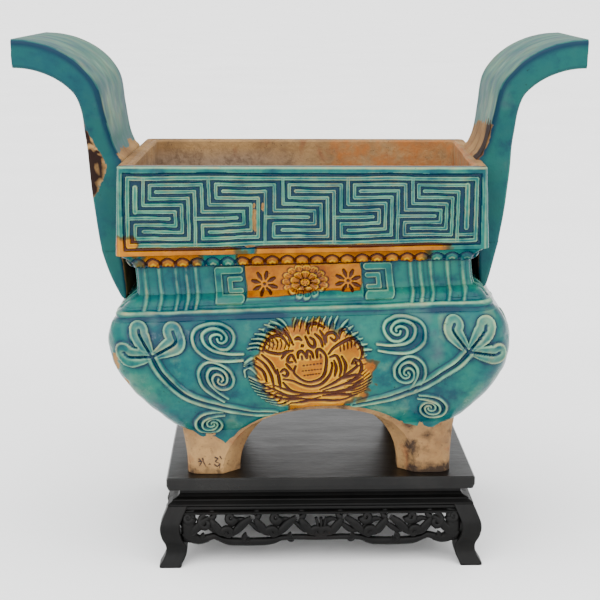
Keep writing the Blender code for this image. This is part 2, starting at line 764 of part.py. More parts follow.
def build_burner(finish):
    burner = make_object("censer", body_mesh(), finish)
    tunnels = [
        arch_tunnel(ARCH_HALF_X, ARCH_SPLAY_X, FOOT_HALF_Y, True),
        arch_tunnel(ARCH_HALF_Y, ARCH_SPLAY_Y, FOOT_HALF_X, False),
    ]
    combine(burner, tunnels, "DIFFERENCE")
    combine(burner, [panel_recess(side) for side in ("front", "back", "left", "right")], "DIFFERENCE")
    added = [handle_mesh(-1.0), handle_mesh(1.0)]
    for side in ("front", "back"):
        front = side == "front"
        added += fret_ridges(side)
        added += neck_carving(side, front)
        added += belly_carving(side, front)
        added += lotus_carving(side, front)
    for side in ("left", "right"):
        added += fret_ridges(side)
        added += neck_carving(side, False)
        added += belly_carving(side, False)
    added.append(scallop_line("front"))
    combine(burner, added, "UNION")
    combine(burner, neck_flower_cuts("front"), "DIFFERENCE")
    tidy_mesh(burner.data)
    for vertex in burner.data.vertices:
        vertex.co = warp(vertex.co)
    burner.data.materials.clear()
    burner.data.materials.append(finish)
    burner.location = (BURNER_SHIFT_X, BURNER_SHIFT_Y, BURNER_BASE)
    return burner


# Stand

def leg_levels():
    """Heights and outward offsets from the waist's foot of the curved leg line, top to bottom."""
    top = STAND_HEIGHT - BOARD_THICK - WAIST_HEIGHT - 2.0 * CLEARANCE
    profile = (
        (1.00, 0.0),
        (0.88, 0.45 * LEG_KNEE_OUT),
        (0.72, 0.95 * LEG_KNEE_OUT),
        (0.60, LEG_KNEE_OUT),
        (0.46, 0.75 * LEG_KNEE_OUT),
        (0.34, LEG_ANKLE_OUT),
        (0.22, LEG_ANKLE_OUT),
        (0.10, 0.6 * LEG_TOE_OUT),
        (0.03, LEG_TOE_OUT),
        (0.00, LEG_TOE_OUT),
    )
    return [(share * top, out) for share, out in profile]


def waist_foot():
    """Half width and half depth of the waist's flared foot, where the legs begin."""
    return BOARD_HALF_X - WAIST_INSET + WAIST_FLARE, BOARD_HALF_Y - WAIST_INSET + WAIST_FLARE


def leg_out(height):
    """Outward offset of the leg line at any height."""
    levels = leg_levels()
    for (high, out_high), (low, out_low) in zip(levels, levels[1:]):
        if low <= height <= high:
            share = (height - low) / (high - low)
            return out_low + (out_high - out_low) * share
    return levels[0][1]


def build_leg(name, sign_x, sign_y, finish):
    foot_x, foot_y = waist_foot()
    rings = []
    for height, out in reversed(leg_levels()):
        bottom = height < 0.2 * STAND_HEIGHT
        thick = LEG_THICK + (0.0015 if bottom else 0.0)
        chamfer = 0.003
        outer_x = foot_x + out
        outer_y = foot_y + out
        section = [
            (outer_x - thick, outer_y - thick),
            (outer_x - thick, outer_y),
            (outer_x - chamfer, outer_y),
            (outer_x, outer_y - chamfer),
            (outer_x, outer_y - thick),
        ]
        ring = [Vector((sign_x * x, sign_y * y, height)) for x, y in section]
        rings.append(ring)
    leg = make_object(name, mesh_from_rings(name, rings), finish)
    return leg


def build_board(finish):
    rings = []
    top = STAND_HEIGHT
    low = STAND_HEIGHT - BOARD_THICK
    levels = (
        (low, BOARD_BEVEL),
        (low + 0.35 * BOARD_THICK, 0.0),
        (top - BOARD_BEVEL, 0.0),
        (top, BOARD_BEVEL),
    )
    for height, inset in levels:
        rings.append(ring_points(BOARD_HALF_X - inset, BOARD_HALF_Y - inset, 0.002, height, 2))
    return make_object("stand_board", mesh_from_rings("stand_board", rings), finish)


def build_waist(side, finish):
    """One strip of the recessed waist, with a flared foot; front and back run past the sides."""
    foot_x, foot_y = waist_foot()
    top = STAND_HEIGHT - BOARD_THICK - CLEARANCE
    low = top - WAIST_HEIGHT
    profile = (
        (0.0, 1.0),
        (0.10, 1.0),
        (0.26, 0.62),
        (0.34, 0.62),
        (0.44, 0.22),
        (0.62, 0.0),
        (1.0, 0.0),
    )
    long_side = side in ("front", "back")
    place = on_flat(side, foot_x, foot_y)
    rings = []
    for share, flare in profile:
        height = low + WAIST_HEIGHT * share
        set_back = WAIST_FLARE * (1.0 - flare)
        if long_side:
            half = foot_x - set_back
        else:
            half = foot_y - WAIST_THICK - CLEARANCE
        rings.append([
            place(-half, height, -set_back),
            place(half, height, -set_back),
            place(half, height, -WAIST_THICK),
            place(-half, height, -WAIST_THICK),
        ])
    name = f"stand_waist_{side}"
    return make_object(name, mesh_from_rings(name, rings), finish)


def skirt_outline(side):
    """Outline of one skirt: ends follow the legs, the lower edge has lobes and cusps."""
    foot_x, foot_y = waist_foot()
    half_top = (foot_x if side in ("front", "back") else foot_y) - LEG_THICK - CLEARANCE
    top = leg_levels()[0][0]
    bottom = top - SKIRT_DROP
    levels = [height for height, _ in leg_levels() if height > bottom + 0.004]
    right = [(half_top + leg_out(height), height) for height in reversed(levels)]
    end_x = half_top + leg_out(bottom + 0.003)
    right = [(end_x, bottom + 0.003)] + right
    shares = (
        (0.93, 0.004),
        (0.85, -0.001),
        (0.78, 0.001),
        (0.66, -SKIRT_LOBE),
        (0.50, -0.9 * SKIRT_LOBE),
        (0.36, -0.3 * SKIRT_LOBE),
        (0.25, 0.002),
        (0.12, -0.001),
    )
    lower = [(share * half_top, bottom + drop) for share, drop in reversed(shares)]
    half = lower + right
    left = [(-x, z) for x, z in reversed(half)]
    return left + [(0.0, bottom + 0.0015)] + half


def skirt_holes(side):
    """Pierced openings: curved drops in mirrored pairs between the scrolls."""
    foot_x, foot_y = waist_foot()
    half = (foot_x if side in ("front", "back") else foot_y) - LEG_THICK
    top = leg_levels()[0][0]
    upper = top - 0.30 * SKIRT_DROP
    lower = top - 0.72 * SKIRT_DROP
    pairs = (
        ((0.12, upper), (0.25, lower), 0.0048),
        ((0.29, lower), (0.43, upper), 0.0048),
        ((0.46, lower - 0.003), (0.60, upper), 0.0050),
        ((0.63, upper), (0.77, lower - 0.001), 0.0048),
        ((0.81, lower + 0.002), (0.92, upper), 0.0040),
    )
    if side in ("left", "right"):
        pairs = pairs[1:4]
    holes = []
    for root, tip, width in pairs:
        for sign in (-1.0, 1.0):
            start = Vector((sign * root[0] * half, root[1]))
            end = Vector((sign * tip[0] * half, tip[1]))
            holes.append(leaf_outline(start, end, width, 1))
    return holes


def prism(name, outline, place, near, far):
    rings = []
    for lift in (near, far):
        rings.append([place(x, z, lift) for x, z in outline])
    return mesh_from_rings(name, rings)


def build_skirt(side, finish):
    foot_x, foot_y = waist_foot()
    place = on_flat(side, foot_x - SKIRT_INSET, foot_y - SKIRT_INSET)
    name = f"stand_apron_{side}"
    skirt = make_object(name, prism(name, skirt_outline(side), place, -SKIRT_THICK, 0.0), finish)
    cuts = []
    for hole in skirt_holes(side):
        outline = [(point.x, point.y) for point in hole]
        cuts.append(prism("hole", outline, place, -SKIRT_THICK - 0.01, 0.01))
    combine(skirt, cuts, "DIFFERENCE")
    tidy_mesh(skirt.data)
    outward = place(0.0, 0.0, 1.0) - place(0.0, 0.0, 0.0)
    for vertex in skirt.data.vertices:
        vertex.co += outward * leg_out(vertex.co.z)
    skirt.data.materials.clear()
    skirt.data.materials.append(finish)
    return skirt


def centre_on_origin():
    """Move every piece so that the middle of the whole footprint is at the world's origin."""
    pieces = [thing for thing in bpy.data.objects if thing.type == "MESH"]
    corners = [thing.location + vertex.co for thing in pieces for vertex in thing.data.vertices]
    middle_x = 0.5 * (min(point.x for point in corners) + max(point.x for point in corners))
    middle_y = 0.5 * (min(point.y for point in corners) + max(point.y for point in corners))
    for thing in pieces:
        thing.location -= Vector((middle_x, middle_y, 0.0))


def build_all():
    clear_scene()
    glaze = make_material("turquoise_glaze", (0.05, 0.30, 0.31), 0.25)
    wood_colours = {"board": (0.022, 0.021, 0.020), "leg": (0.018, 0.017, 0.016)}
    board_wood = make_material("black_wood_board", wood_colours["board"], 0.45)
    trim_wood = make_material("black_wood_trim", (0.020, 0.018, 0.017), 0.42)
    leg_wood = make_material("black_wood_leg", wood_colours["leg"], 0.40)
    build_burner(glaze)
    build_board(board_wood)
    for side in ("front", "back", "left", "right"):
        build_waist(side, trim_wood)
        build_skirt(side, trim_wood)
    for depth, sign_y in (("front", -1), ("back", 1)):
        for hand, sign_x in (("left", -1), ("right", 1)):
            build_leg(f"stand_leg_{depth}_{hand}", sign_x, sign_y, leg_wood)
    centre_on_origin()


build_all()
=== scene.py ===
"""Looks of a rectangular glazed incense burner on its carved wooden stand.

Shapes are worked out in millimetres in the burner's own upright frame: d runs along a side from its
middle, h is the height above the underside of the feet, and lift stands out from the surface. A warp
then leans, turns and slopes them as the hand-made piece does, and sets them on the stand.
"""

import math

import bpy
import numpy as np
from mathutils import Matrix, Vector


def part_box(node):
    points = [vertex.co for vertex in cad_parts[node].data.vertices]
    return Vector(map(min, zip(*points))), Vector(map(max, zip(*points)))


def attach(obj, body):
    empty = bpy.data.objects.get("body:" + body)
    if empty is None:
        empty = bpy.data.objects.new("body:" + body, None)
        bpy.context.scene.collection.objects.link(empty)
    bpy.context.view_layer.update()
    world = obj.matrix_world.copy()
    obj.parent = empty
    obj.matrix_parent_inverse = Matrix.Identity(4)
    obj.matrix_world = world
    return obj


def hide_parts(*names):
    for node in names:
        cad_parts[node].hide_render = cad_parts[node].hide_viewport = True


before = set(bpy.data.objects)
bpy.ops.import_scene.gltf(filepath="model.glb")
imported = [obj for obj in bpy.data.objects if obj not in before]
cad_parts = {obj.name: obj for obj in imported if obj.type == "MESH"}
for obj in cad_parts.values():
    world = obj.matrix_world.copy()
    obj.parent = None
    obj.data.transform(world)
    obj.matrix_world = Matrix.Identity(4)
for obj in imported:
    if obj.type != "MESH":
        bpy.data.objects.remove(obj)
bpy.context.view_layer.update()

# Burner sizes in millimetres, close to its solid's
FOOT_X, FOOT_Y, FOOT_H, FOOT_FLARE = 103.0, 80.0, 39.0, 4.0
FOOT_CORNER, ANKLE_CORNER = 10.0, 16.0
BELLY_X, BELLY_Y, BELLY_H, BELLY_CORNER = 152.2, 113.8, 110.0, 28.0
SWELL_POWER, SHRINK_POWER = 0.93, 0.7
SHOULDER_H, RIDGE_H, SEAM_H = 137.5, 136.0, 140.2
NECK_X, NECK_Y, NECK_LOW, NECK_HIGH, NECK_CORNER = 126.0, 87.0, 146.5, 168.4, 5.0
COVE_STEP, COVE_LIP = 3.0, 9.72
RIM_X, RIM_Y, RIM_LOW, RIM_HIGH, RIM_TAPER = 139.5, 98.5, 177.3, 242.5, 2.5
SEAT_H = 175.0
WALL, FLOOR = 11.0, 67.2
ARCH_X, ARCH_Y, ARCH_H, ARCH_POWER = 62.0, 55.0, 55.0, 2.2
SPLAY_X, SPLAY_Y, SPLAY_TOP, SPLAY_DEPTH = 13.0, 7.0, 1.2, 12.0
HANDLE_HALF, HANDLE_FLARE, HANDLE_THICK, TIP_THICK = 54.0, 22.0, 22.0, 21.5
HANDLE_RISE, HANDLE_REACH, HANDLE_DROP, HANDLE_GAP, HANDLE_END = 91.5, 74.2, 36.5, 11.0, 6.0

# Hand-made warp: lean and drift in millimetres, slope as rise over run
LEAN, NECK_DRIFT, SLOPE, TURN = -13.0, 2.6, 0.037, math.radians(-2.3)

# Stand sizes in millimetres
LEG_TOP, LEG_THICK, SKIRT_DROP = 47.9, 15.5, 31.0
WAIST_FOOT_X, WAIST_FOOT_Y = 119.0, 96.0
KNEE_OUT, ANKLE_OUT, TOE_OUT = 6.5, 2.0, 7.5

# Places in millimetres: the board's middle, the burner on it and the underside of the feet
board_low, board_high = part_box("stand_board")
STAND_MIDDLE = np.array([500.0 * (board_low.x + board_high.x), 500.0 * (board_low.y + board_high.y)])
SHIFT = STAND_MIDDLE + (-1.0, -6.0)
BASE = 1000.0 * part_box("censer")[0].z
MILLIMETRE = 0.001

# Quarter turns of the plan from the front, and the two wide sides
QUARTERS = {"front": 0, "right": 1, "back": 2, "left": 3}
WIDE_SIDES = ("front", "back")


# Mesh making

def smooth_step(t):
    """Eases from 0 to 1: three times t squared less twice t cubed, with t held between 0 and 1."""
    t = np.clip(t, 0.0, 1.0)
    return t * t * (3.0 - 2.0 * t)


def grid_quads(rows, columns, start=0, flip=False, wrap=False):
    """Four-cornered faces of a grid of points numbered row by row; wrap joins last column to first."""
    index = start + np.arange(rows * columns).reshape(rows, columns)
    if wrap:
        index = np.concatenate([index, index[:, :1]], axis=1)
    a, b, c, d = index[:-1, :-1], index[:-1, 1:], index[1:, 1:], index[1:, :-1]
    quads = np.stack([a, b, c, d], axis=-1).reshape(-1, 4)
    return quads[:, ::-1] if flip else quads


def closed_tube(rings):
    """A stack of rings as one closed skin: faces between the rings, and a fan from the middle of each end
    ring. Gives points, four-cornered and three-cornered faces."""
    rows, count, _ = rings.shape
    middles = rings[0].mean(0, keepdims=True), rings[-1].mean(0, keepdims=True)
    points = np.concatenate([rings.reshape(-1, 3), *middles])
    quads = grid_quads(rows, count, wrap=True)
    around = np.arange(count)
    after = (around + 1) % count
    last_row = (rows - 1) * count
    first = np.stack([after, around, np.full(count, rows * count)], axis=-1)
    final = np.stack([last_row + around, last_row + after, np.full(count, rows * count + 1)], axis=-1)
    return points, quads, np.concatenate([first, final])


def merged(parts):
    """Several skins as one: points in a row, and each skin's faces renumbered to match."""
    points, quads, tris, count = [], [], [], 0
    for part_points, part_quads, part_tris in parts:
        points.append(part_points)
        quads.append(part_quads + count)
        tris.append(part_tris + count)
        count += len(part_points)
    return np.concatenate(points), np.concatenate(quads), np.concatenate(tris)


def finish_piece(name, mesh, tone, sharp, replaces, material):
    """Names a mesh, colours its points by the four tone masks, smooths it but for edges steeper than
    sharp degrees, and sets it riding on the root."""
    if tone is not None:
        layer = mesh.color_attributes.new("tone", "FLOAT_COLOR", "POINT")
        layer.data.foreach_set("color", np.ascontiguousarray(tone, np.float32).ravel())
    mesh.polygons.foreach_set("use_smooth", np.ones(len(mesh.polygons), bool))
    mesh.set_sharp_from_angle(angle=math.radians(sharp))
    mesh.materials.clear()
    mesh.materials.append(material)
    piece = bpy.data.objects.new(name, mesh)
    bpy.context.scene.collection.objects.link(piece)
    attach(piece, "root")
    if replaces:
        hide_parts(*replaces)


def make_piece(name, points, quads, tris, tone=None, sharp=50.0, replaces=None, slot=None, material=None):
    """A piece from points in metres and its four-cornered and three-cornered faces."""
    mesh = bpy.data.meshes.new(name)
    mesh.vertices.add(len(points))
    mesh.vertices.foreach_set("co", np.ascontiguousarray(points, np.float32).ravel())
    corners = np.concatenate([quads.ravel(), tris.ravel()]).astype(np.int32)
    totals = np.concatenate([np.full(len(quads), 4), np.full(len(tris), 3)])
    mesh.loops.add(len(corners))
    mesh.loops.foreach_set("vertex_index", corners)
    mesh.polygons.add(len(totals))
    starts = np.concatenate([[0], np.cumsum(totals)[:-1]])
    mesh.polygons.foreach_set("loop_start", starts.astype(np.int32))
    mesh.polygons.foreach_set("loop_total", totals.astype(np.int32))
    mesh.update(calc_edges=True)
    finish_piece(name, mesh, tone, sharp, replaces, material)


def ripple(x, y, scale, seed=0.0):
    """Smooth uneven waves from -1 to 1: a hashed height at each corner of square cells, eased between
    the four corners by smooth_step."""
    u, v = np.asarray(x) / scale + 31.7 * seed, np.asarray(y) / scale - 17.3 * seed
    cell_u, cell_v = np.floor(u), np.floor(v)
    fade_u, fade_v = smooth_step(u - cell_u), smooth_step(v - cell_v)

    def corner(a, b):
        value = np.sin(a * 127.1 + b * 311.7 + seed * 74.7) * 43758.5453
        return 2.0 * (value - np.floor(value)) - 1.0

    near = corner(cell_u, cell_v) * (1 - fade_u) + corner(cell_u + 1, cell_v) * fade_u
    far = corner(cell_u, cell_v + 1) * (1 - fade_u) + corner(cell_u + 1, cell_v + 1) * fade_u
    return near * (1 - fade_v) + far * fade_v


def curve(points, per_span=6):
    """A smooth line through given points: each span is the cubic that leaves and meets its ends
    along the chord between their neighbours."""
    points = np.asarray(points, float)
    padded = np.concatenate([2 * points[:1] - points[1:2], points, 2 * points[-1:] - points[-2:-1]])
    a, b, c, e = padded[:-3, None], padded[1:-2, None], padded[2:-1, None], padded[3:, None]
    t = (np.arange(per_span) / per_span)[None, :, None]
    square, cube = 2 * a - 5 * b + 4 * c - e, 3 * b - a - 3 * c + e
    line = 0.5 * (2 * b + (c - a) * t + square * t ** 2 + cube * t ** 3)
    line = line.reshape(-1, points.shape[1])
    return np.concatenate([line, points[-1:]])


# Burner form

def half_sizes(h):
    """Half width, half depth and corner radius of the burner's outside at heights h. The foot flares by
    the square of its height's share, the belly swells by a sine and draws in to the neck by a cosine,
    each to its own power, the cove steps out to the rim and the rim tapers a little."""
    h = np.asarray(h, float)
    foot = np.clip(h / FOOT_H, 0.0, 1.0)
    lower = np.clip((h - FOOT_H) / (BELLY_H - FOOT_H), 0.0, 1.0)
    upper = np.clip((h - BELLY_H) / (NECK_LOW - BELLY_H), 0.0, 1.0)
    cove = np.clip((h - NECK_HIGH) / (RIM_LOW - NECK_HIGH), 0.0, 1.0)
    rim_share = np.clip((h - RIM_LOW) / (RIM_HIGH - RIM_LOW), 0.0, 1.0)
    swell = np.sin(0.5 * math.pi * lower) ** SWELL_POWER
    shrink = np.maximum(np.cos(0.5 * math.pi * upper), 0.0) ** SHRINK_POWER
    sizes = []
    for foot_half, belly_half, neck_half, rim_half, taper in (
            (FOOT_X, BELLY_X, NECK_X, RIM_X, RIM_TAPER), (FOOT_Y, BELLY_Y, NECK_Y, RIM_Y, 0.0)):
        ankle_half = foot_half + FOOT_FLARE
        half = foot_half + FOOT_FLARE * foot ** 2
        half = np.where(h > FOOT_H, ankle_half + (belly_half - ankle_half) * swell, half)
        half = np.where(h > BELLY_H, neck_half + (belly_half - neck_half) * shrink, half)
        half = np.where(h > NECK_HIGH, neck_half + COVE_STEP + (COVE_LIP - COVE_STEP) * cove, half)
        half = np.where(h > RIM_LOW + 0.01, rim_half - taper * rim_share, half)
        sizes.append(half)
    low_corner = FOOT_CORNER + (ANKLE_CORNER - FOOT_CORNER) * foot
    corner = np.where(h <= FOOT_H, low_corner, ANKLE_CORNER + (BELLY_CORNER - ANKLE_CORNER) * lower)
    corner = np.where(h > BELLY_H, BELLY_CORNER + (NECK_CORNER - BELLY_CORNER) * upper, corner)
    return sizes[0], sizes[1], corner


def turn_to(side, x, y):
    """Plan coordinates given for the front, turned to another side by quarter turns."""
    for _ in range(QUARTERS[side]):
        x, y = -y, x
    return x, y


def on_side(side, d, h):
    """Point and outward direction at distance d along a side: flat, then a quarter round at each corner."""
    half_x, half_y, corner = half_sizes(h)
    reach, depth = (half_x, half_y) if side in WIDE_SIDES else (half_y, half_x)
    flat = reach - corner
    sign = np.where(d >= 0.0, 1.0, -1.0)
    angle = np.clip((np.abs(d) - flat) / corner, 0.0, 0.5 * math.pi)
    x = np.where(np.abs(d) <= flat, d, sign * (flat + corner * np.sin(angle)))
    y = corner - depth - corner * np.cos(angle)
    return turn_to(side, x, y), turn_to(side, sign * np.sin(angle), -np.cos(angle))


def place(side, d, h, lift):
    """Points on the burner's outside, raised by lift along the surface's own outward tilt, which comes
    from the outline half a millimetre above and below."""
    step = 0.5
    (x, y), (out_x, out_y) = on_side(side, d, h)
    (above_x, above_y), _ = on_side(side, d, h + step)
    (below_x, below_y), _ = on_side(side, d, h - step)
    climb = ((above_x - below_x) * out_x + (above_y - below_y) * out_y) / (2.0 * step)
    size = np.sqrt(1.0 + climb ** 2)
    return np.stack([x + lift * out_x / size, y + lift * out_y / size, h - lift * climb / size], axis=-1)


def settle(points, drift=NECK_DRIFT):
    """The hand-made warp, from millimetres to metres: heights gain SLOPE times x over the belly, which
    fades out at the foot and the rim, the plan turns by TURN and leans by LEAN, both eased in with
    height, and the neck and rim drift to the right."""
    x, y, h = points[..., 0], points[..., 1], points[..., 2]
    slope = SLOPE * smooth_step((h - 0.1 * FOOT_H) / (0.7 * FOOT_H))
    slope = slope * (1.0 - smooth_step((h - SHOULDER_H) / (RIM_HIGH - SHOULDER_H)))
    turn = TURN * smooth_step(h / SEAT_H)
    lean = LEAN * smooth_step((h - FOOT_H) / (SEAT_H - 0.7 * FOOT_H))
    lean = lean + drift * smooth_step((h - RIDGE_H) / (NECK_LOW - RIDGE_H))
    out_x = x * np.cos(turn) - y * np.sin(turn) + lean + SHIFT[0]
    out_y = x * np.sin(turn) + y * np.cos(turn) + SHIFT[1]
    return np.stack([out_x, out_y, h + slope * x + BASE], axis=-1) * MILLIMETRE


# Heights up the outline and the distance walked along it to reach them
HEIGHTS = np.linspace(0.0, RIM_HIGH, 4001)
RUN = np.concatenate([[0.0], np.cumsum(np.hypot(np.diff(HEIGHTS), np.diff(half_sizes(HEIGHTS)[1])))])


def even_heights(low_h, high_h, share):
    """Heights at even steps of distance along the upright outline; low_h may differ in each column."""
    start = np.interp(low_h, HEIGHTS, RUN)
    end = np.interp(high_h, HEIGHTS, RUN)
    return np.interp(start + (end - start) * share, RUN, HEIGHTS)


# Relief worked out on a sheet of points

class Relief:
    """Raised and cut heights in millimetres on a grid of (d, h) points, with masks for colour."""

    def __init__(self, d, h):
        self.d, self.h = d, h
        self.up = np.zeros(d.shape)
        self.cut = np.zeros(d.shape)
        self.crest = np.zeros(d.shape)
        self.hollow = np.zeros(d.shape)

    def window(self, path, margin):
        """Mask of the grid's points that lie within margin of the path's own box."""
        (left, down), (right, top) = path.min(0) - margin, path.max(0) + margin
        return (self.d > left) & (self.d < right) & (self.h > down) & (self.h < top)

    def stroke(self, path, width, rise, form, taper=None, sink=False):
        """A strip of clay, or a groove where sink is set. Height and brightness are read from form by the
        distance to the path as a share of half the width; taper narrows it by shares along its length."""
        path = np.asarray(path, float)
        here = self.window(path, 0.6 * width)
        if not here.any():
            return
        x, y = self.d[here], self.h[here]
        best = np.full(x.shape, 1e9)
        along = np.zeros(x.shape)
        steps = np.diff(path, axis=0)
        lengths = np.hypot(steps[:, 0], steps[:, 1])
        run = np.concatenate([[0.0], np.cumsum(lengths)])
        for index, (start, step, length) in enumerate(zip(path[:-1], steps, lengths)):
            if length < 1e-9:
                continue
            t = np.clip(((x - start[0]) * step[0] + (y - start[1]) * step[1]) / length ** 2, 0.0, 1.0)
            away = np.hypot(x - start[0] - t * step[0], y - start[1] - t * step[1])
            near = away < best
            best = np.where(near, away, best)
            along = np.where(near, (run[index] + t * length) / run[-1], along)
        narrow = 1.0
        if taper is not None:
            narrow = np.interp(along, np.linspace(0.0, 1.0, len(taper)), taper)
        across = best / (0.5 * width * np.maximum(narrow, 0.05))
        shares, heights, shines = zip(*form)
        lift = rise * np.interp(across, shares, heights, right=0.0) * np.minimum(1.0, 0.4 + 0.6 * narrow)
        target, mask = (self.cut, self.hollow) if sink else (self.up, self.crest)
        target[here] = np.maximum(target[here], lift)
        mask[here] = np.maximum(mask[here], np.interp(across, shares, shines, right=0.0))

    def dot(self, spot, width, rise):
        """A round hole pressed in at a spot."""
        spot = np.array(spot, float)
        self.stroke(np.array([spot, spot + (0.1, 0.0)]), width, rise, NOTCH, sink=True)

    def height(self):
        """Raised less cut height at every point."""
        return self.up - self.cut


def blur(values, rows, columns):
    """Smoothed copy of a grid of heights, by a bell-shaped average along both directions."""
    for axis, sigma in ((0, rows), (1, columns)):
        radius = int(3 * sigma) + 1
        weights = np.exp(-0.5 * (np.arange(-radius, radius + 1) / sigma) ** 2)
        weights /= weights.sum()
        padded = np.concatenate([np.repeat(values.take([0], axis), radius, axis), values,
                                 np.repeat(values.take([-1], axis), radius, axis)], axis)
        count = values.shape[axis]
        values = sum(w * padded.take(np.arange(i, i + count), axis) for i, w in enumerate(weights))
    return values


def tone_of(relief, height, cell, amber, bare):
    """Four masks for the glaze: pale on edges and crests, deep in hollows, where glaze pools and where
    shade is painted at the foot of raised work, amber, and bare clay. Edges and hollows are where the
    height differs from its own blur over a small and a larger reach."""
    small, large = 0.7, 2.4
    fine = height - blur(height, small / cell[0], small / cell[1])
    broad = height - blur(height, large / cell[0], large / cell[1])
    worn = 0.66 + 0.34 * ripple(relief.d, relief.h, 9.0, 61.0) + 0.18 * ripple(relief.d, relief.h, 2.6, 63.0)
    worn = np.clip(worn, 0.0, 1.0)
    pale = np.clip(0.86 * relief.crest * worn + 0.8 * np.maximum(fine, 0.0), 0.0, 1.0)
    pale = pale * (1.0 - np.clip(relief.hollow, 0.0, 1.0))
    # Deep: glaze pooled in hollows, and painted shade at the foot of raised work, mostly from the larger
    # reach
    deep = np.clip(relief.hollow + 1.4 * np.maximum(-fine, 0.0) + 0.7 * np.maximum(-broad, 0.0), 0.0, 1.0)
    return np.stack([pale, deep * (1.0 - 0.7 * pale), amber, bare], axis=-1)


def cell_size(d, h):
    """Mean steps of a sheet in millimetres, up the outline and along the side."""
    climb = np.hypot(np.diff(h, axis=0), np.diff(half_sizes(h)[0], axis=0))
    return float(np.mean(climb)), float(np.mean(np.diff(d, axis=1)))


def chips(d, h, spots, edge, ragged, grain, seed):
    """Mask of bare chips: ovals of given middle and half sizes, their edges made ragged by ripples."""
    bare = np.zeros(d.shape)
    for x, z, half_wide, half_high in spots:
        blob = edge - np.hypot((d - x) / half_wide, (h - z) / half_high) + ragged * ripple(d, h, grain, seed)
        bare = np.maximum(bare, np.clip(blob, 0.0, 1.0))
    return bare


def slab(name, side, d, h, lift, tone, back=6.0, coarse=4):
    """A closed slab of glazed clay: a fine carved face, a coarser face back millimetres behind it on every
    fourth point, and a skirt of three-cornered faces joining their borders."""
    rows, columns = d.shape
    count = rows * columns
    face = settle(place(side, d, h, lift)).reshape(-1, 3)
    inner_d, inner_h = d[::coarse, ::coarse], h[::coarse, ::coarse]
    inner = settle(place(side, inner_d, inner_h, np.full(inner_d.shape, -back)))
    inner_rows, inner_columns = inner_d.shape

    def border(row_count, column_count, start):
        index = start + np.arange(row_count * column_count).reshape(row_count, column_count)
        return np.concatenate([index[0, :-1], index[:-1, -1], index[-1, :0:-1], index[:0:-1, 0]])

    outer_loop = border(rows, columns, 0)
    inner_loop = border(inner_rows, inner_columns, count)
    partner = ((np.arange(len(outer_loop)) + coarse // 2) // coarse) % len(inner_loop)
    fan = np.stack([np.roll(outer_loop, -1), outer_loop, inner_loop[partner]], axis=-1)
    middle = outer_loop[(np.arange(len(inner_loop)) * coarse + coarse // 2) % len(outer_loop)]
    fill = np.stack([middle, inner_loop, np.roll(inner_loop, -1)], axis=-1)
    inner_quads = grid_quads(inner_rows, inner_columns, count, flip=True)
    quads = np.concatenate([grid_quads(rows, columns), inner_quads])
    tris = np.concatenate([fan[coarse // 2:], fan[:coarse // 2], fill])
    tones = np.concatenate([tone.reshape(-1, 4), tone[::coarse, ::coarse].reshape(-1, 4)])
    points = np.concatenate([face, inner.reshape(-1, 3)])
    make_piece(name, points, quads, tris, tones, **GLAZE_LOOK)


# Materials

# The studio is bright, so that its paper shows white; every colour is shaded down by this share
SHADE = 0.60


def srgb(red, green, blue):
    """Linear colour from the eight-bit values that a colour chart gives, shaded for the bright studio."""
    values = [value / 255.0 for value in (red, green, blue)]
    linear = [v / 12.92 if v <= 0.04045 else ((v + 0.055) / 1.055) ** 2.4 for v in values]
    return tuple(SHADE * v for v in linear) + (1.0,)


class Nodes:
    """Short ways to write a material's node tree; textures run in the object's own metres."""

    def __init__(self, name):
        self.material = bpy.data.materials.new(name)
        self.material.use_nodes = True
        self.tree = self.material.node_tree
        self.shader = self.tree.nodes["Principled BSDF"]
        self.place = self.add("ShaderNodeTexCoord").outputs["Object"]

    def add(self, kind, **settings):
        node = self.tree.nodes.new(kind)
        for key, value in settings.items():
            setattr(node, key, value)
        return node

    def feed(self, socket, value):
        """Link a socket or set a constant."""
        if isinstance(value, bpy.types.NodeSocket):
            self.tree.links.new(value, socket)
        else:
            socket.default_value = value

    def mapped(self, scale):
        node = self.add("ShaderNodeMapping")
        self.feed(node.inputs["Vector"], self.place)
        node.inputs["Scale"].default_value = scale
        return node.outputs["Vector"]

    def noise(self, scale, detail=3.0, rough=0.5, vector=None, distortion=0.0):
        node = self.add("ShaderNodeTexNoise")
        self.feed(node.inputs["Vector"], self.place if vector is None else vector)
        node.inputs["Scale"].default_value = scale
        node.inputs["Detail"].default_value = detail
        node.inputs["Roughness"].default_value = rough
        node.inputs["Distortion"].default_value = distortion
        return node.outputs["Fac"]

    def span(self, value, low_in, high_in, low_out=0.0, high_out=1.0):
        """A straight line from one range to another, held at its ends."""
        node = self.add("ShaderNodeMapRange")
        self.feed(node.inputs["Value"], value)
        node.inputs["From Min"].default_value = low_in
        node.inputs["From Max"].default_value = high_in
        node.inputs["To Min"].default_value = low_out
        node.inputs["To Max"].default_value = high_out
        return node.outputs["Result"]

    def maths(self, operation, a, b):
        node = self.add("ShaderNodeMath", operation=operation)
        self.feed(node.inputs[0], a)
        self.feed(node.inputs[1], b)
        return node.outputs["Value"]

    def mix(self, factor, a, b, blend="MIX"):
        node = self.add("ShaderNodeMix", data_type="RGBA", blend_type=blend)
        self.feed(node.inputs["Factor"], factor)
        self.feed(node.inputs[6], a)
        self.feed(node.inputs[7], b)
        return node.outputs[2]

    def bump(self, height, distance, strength=1.0, normal=None):
        node = self.add("ShaderNodeBump")
        self.feed(node.inputs["Height"], height)
        node.inputs["Distance"].default_value = distance
        node.inputs["Strength"].default_value = strength
        if normal is not None:
            self.feed(node.inputs["Normal"], normal)
        return node.outputs["Normal"]

    def finish(self, colour, roughness, normal=None, gloss=0.3):
        self.feed(self.shader.inputs["Base Color"], colour)
        self.feed(self.shader.inputs["Roughness"], roughness)
        if normal is not None:
            self.feed(self.shader.inputs["Normal"], normal)
        self.shader.inputs["Specular IOR Level"].default_value = gloss
        return self.material


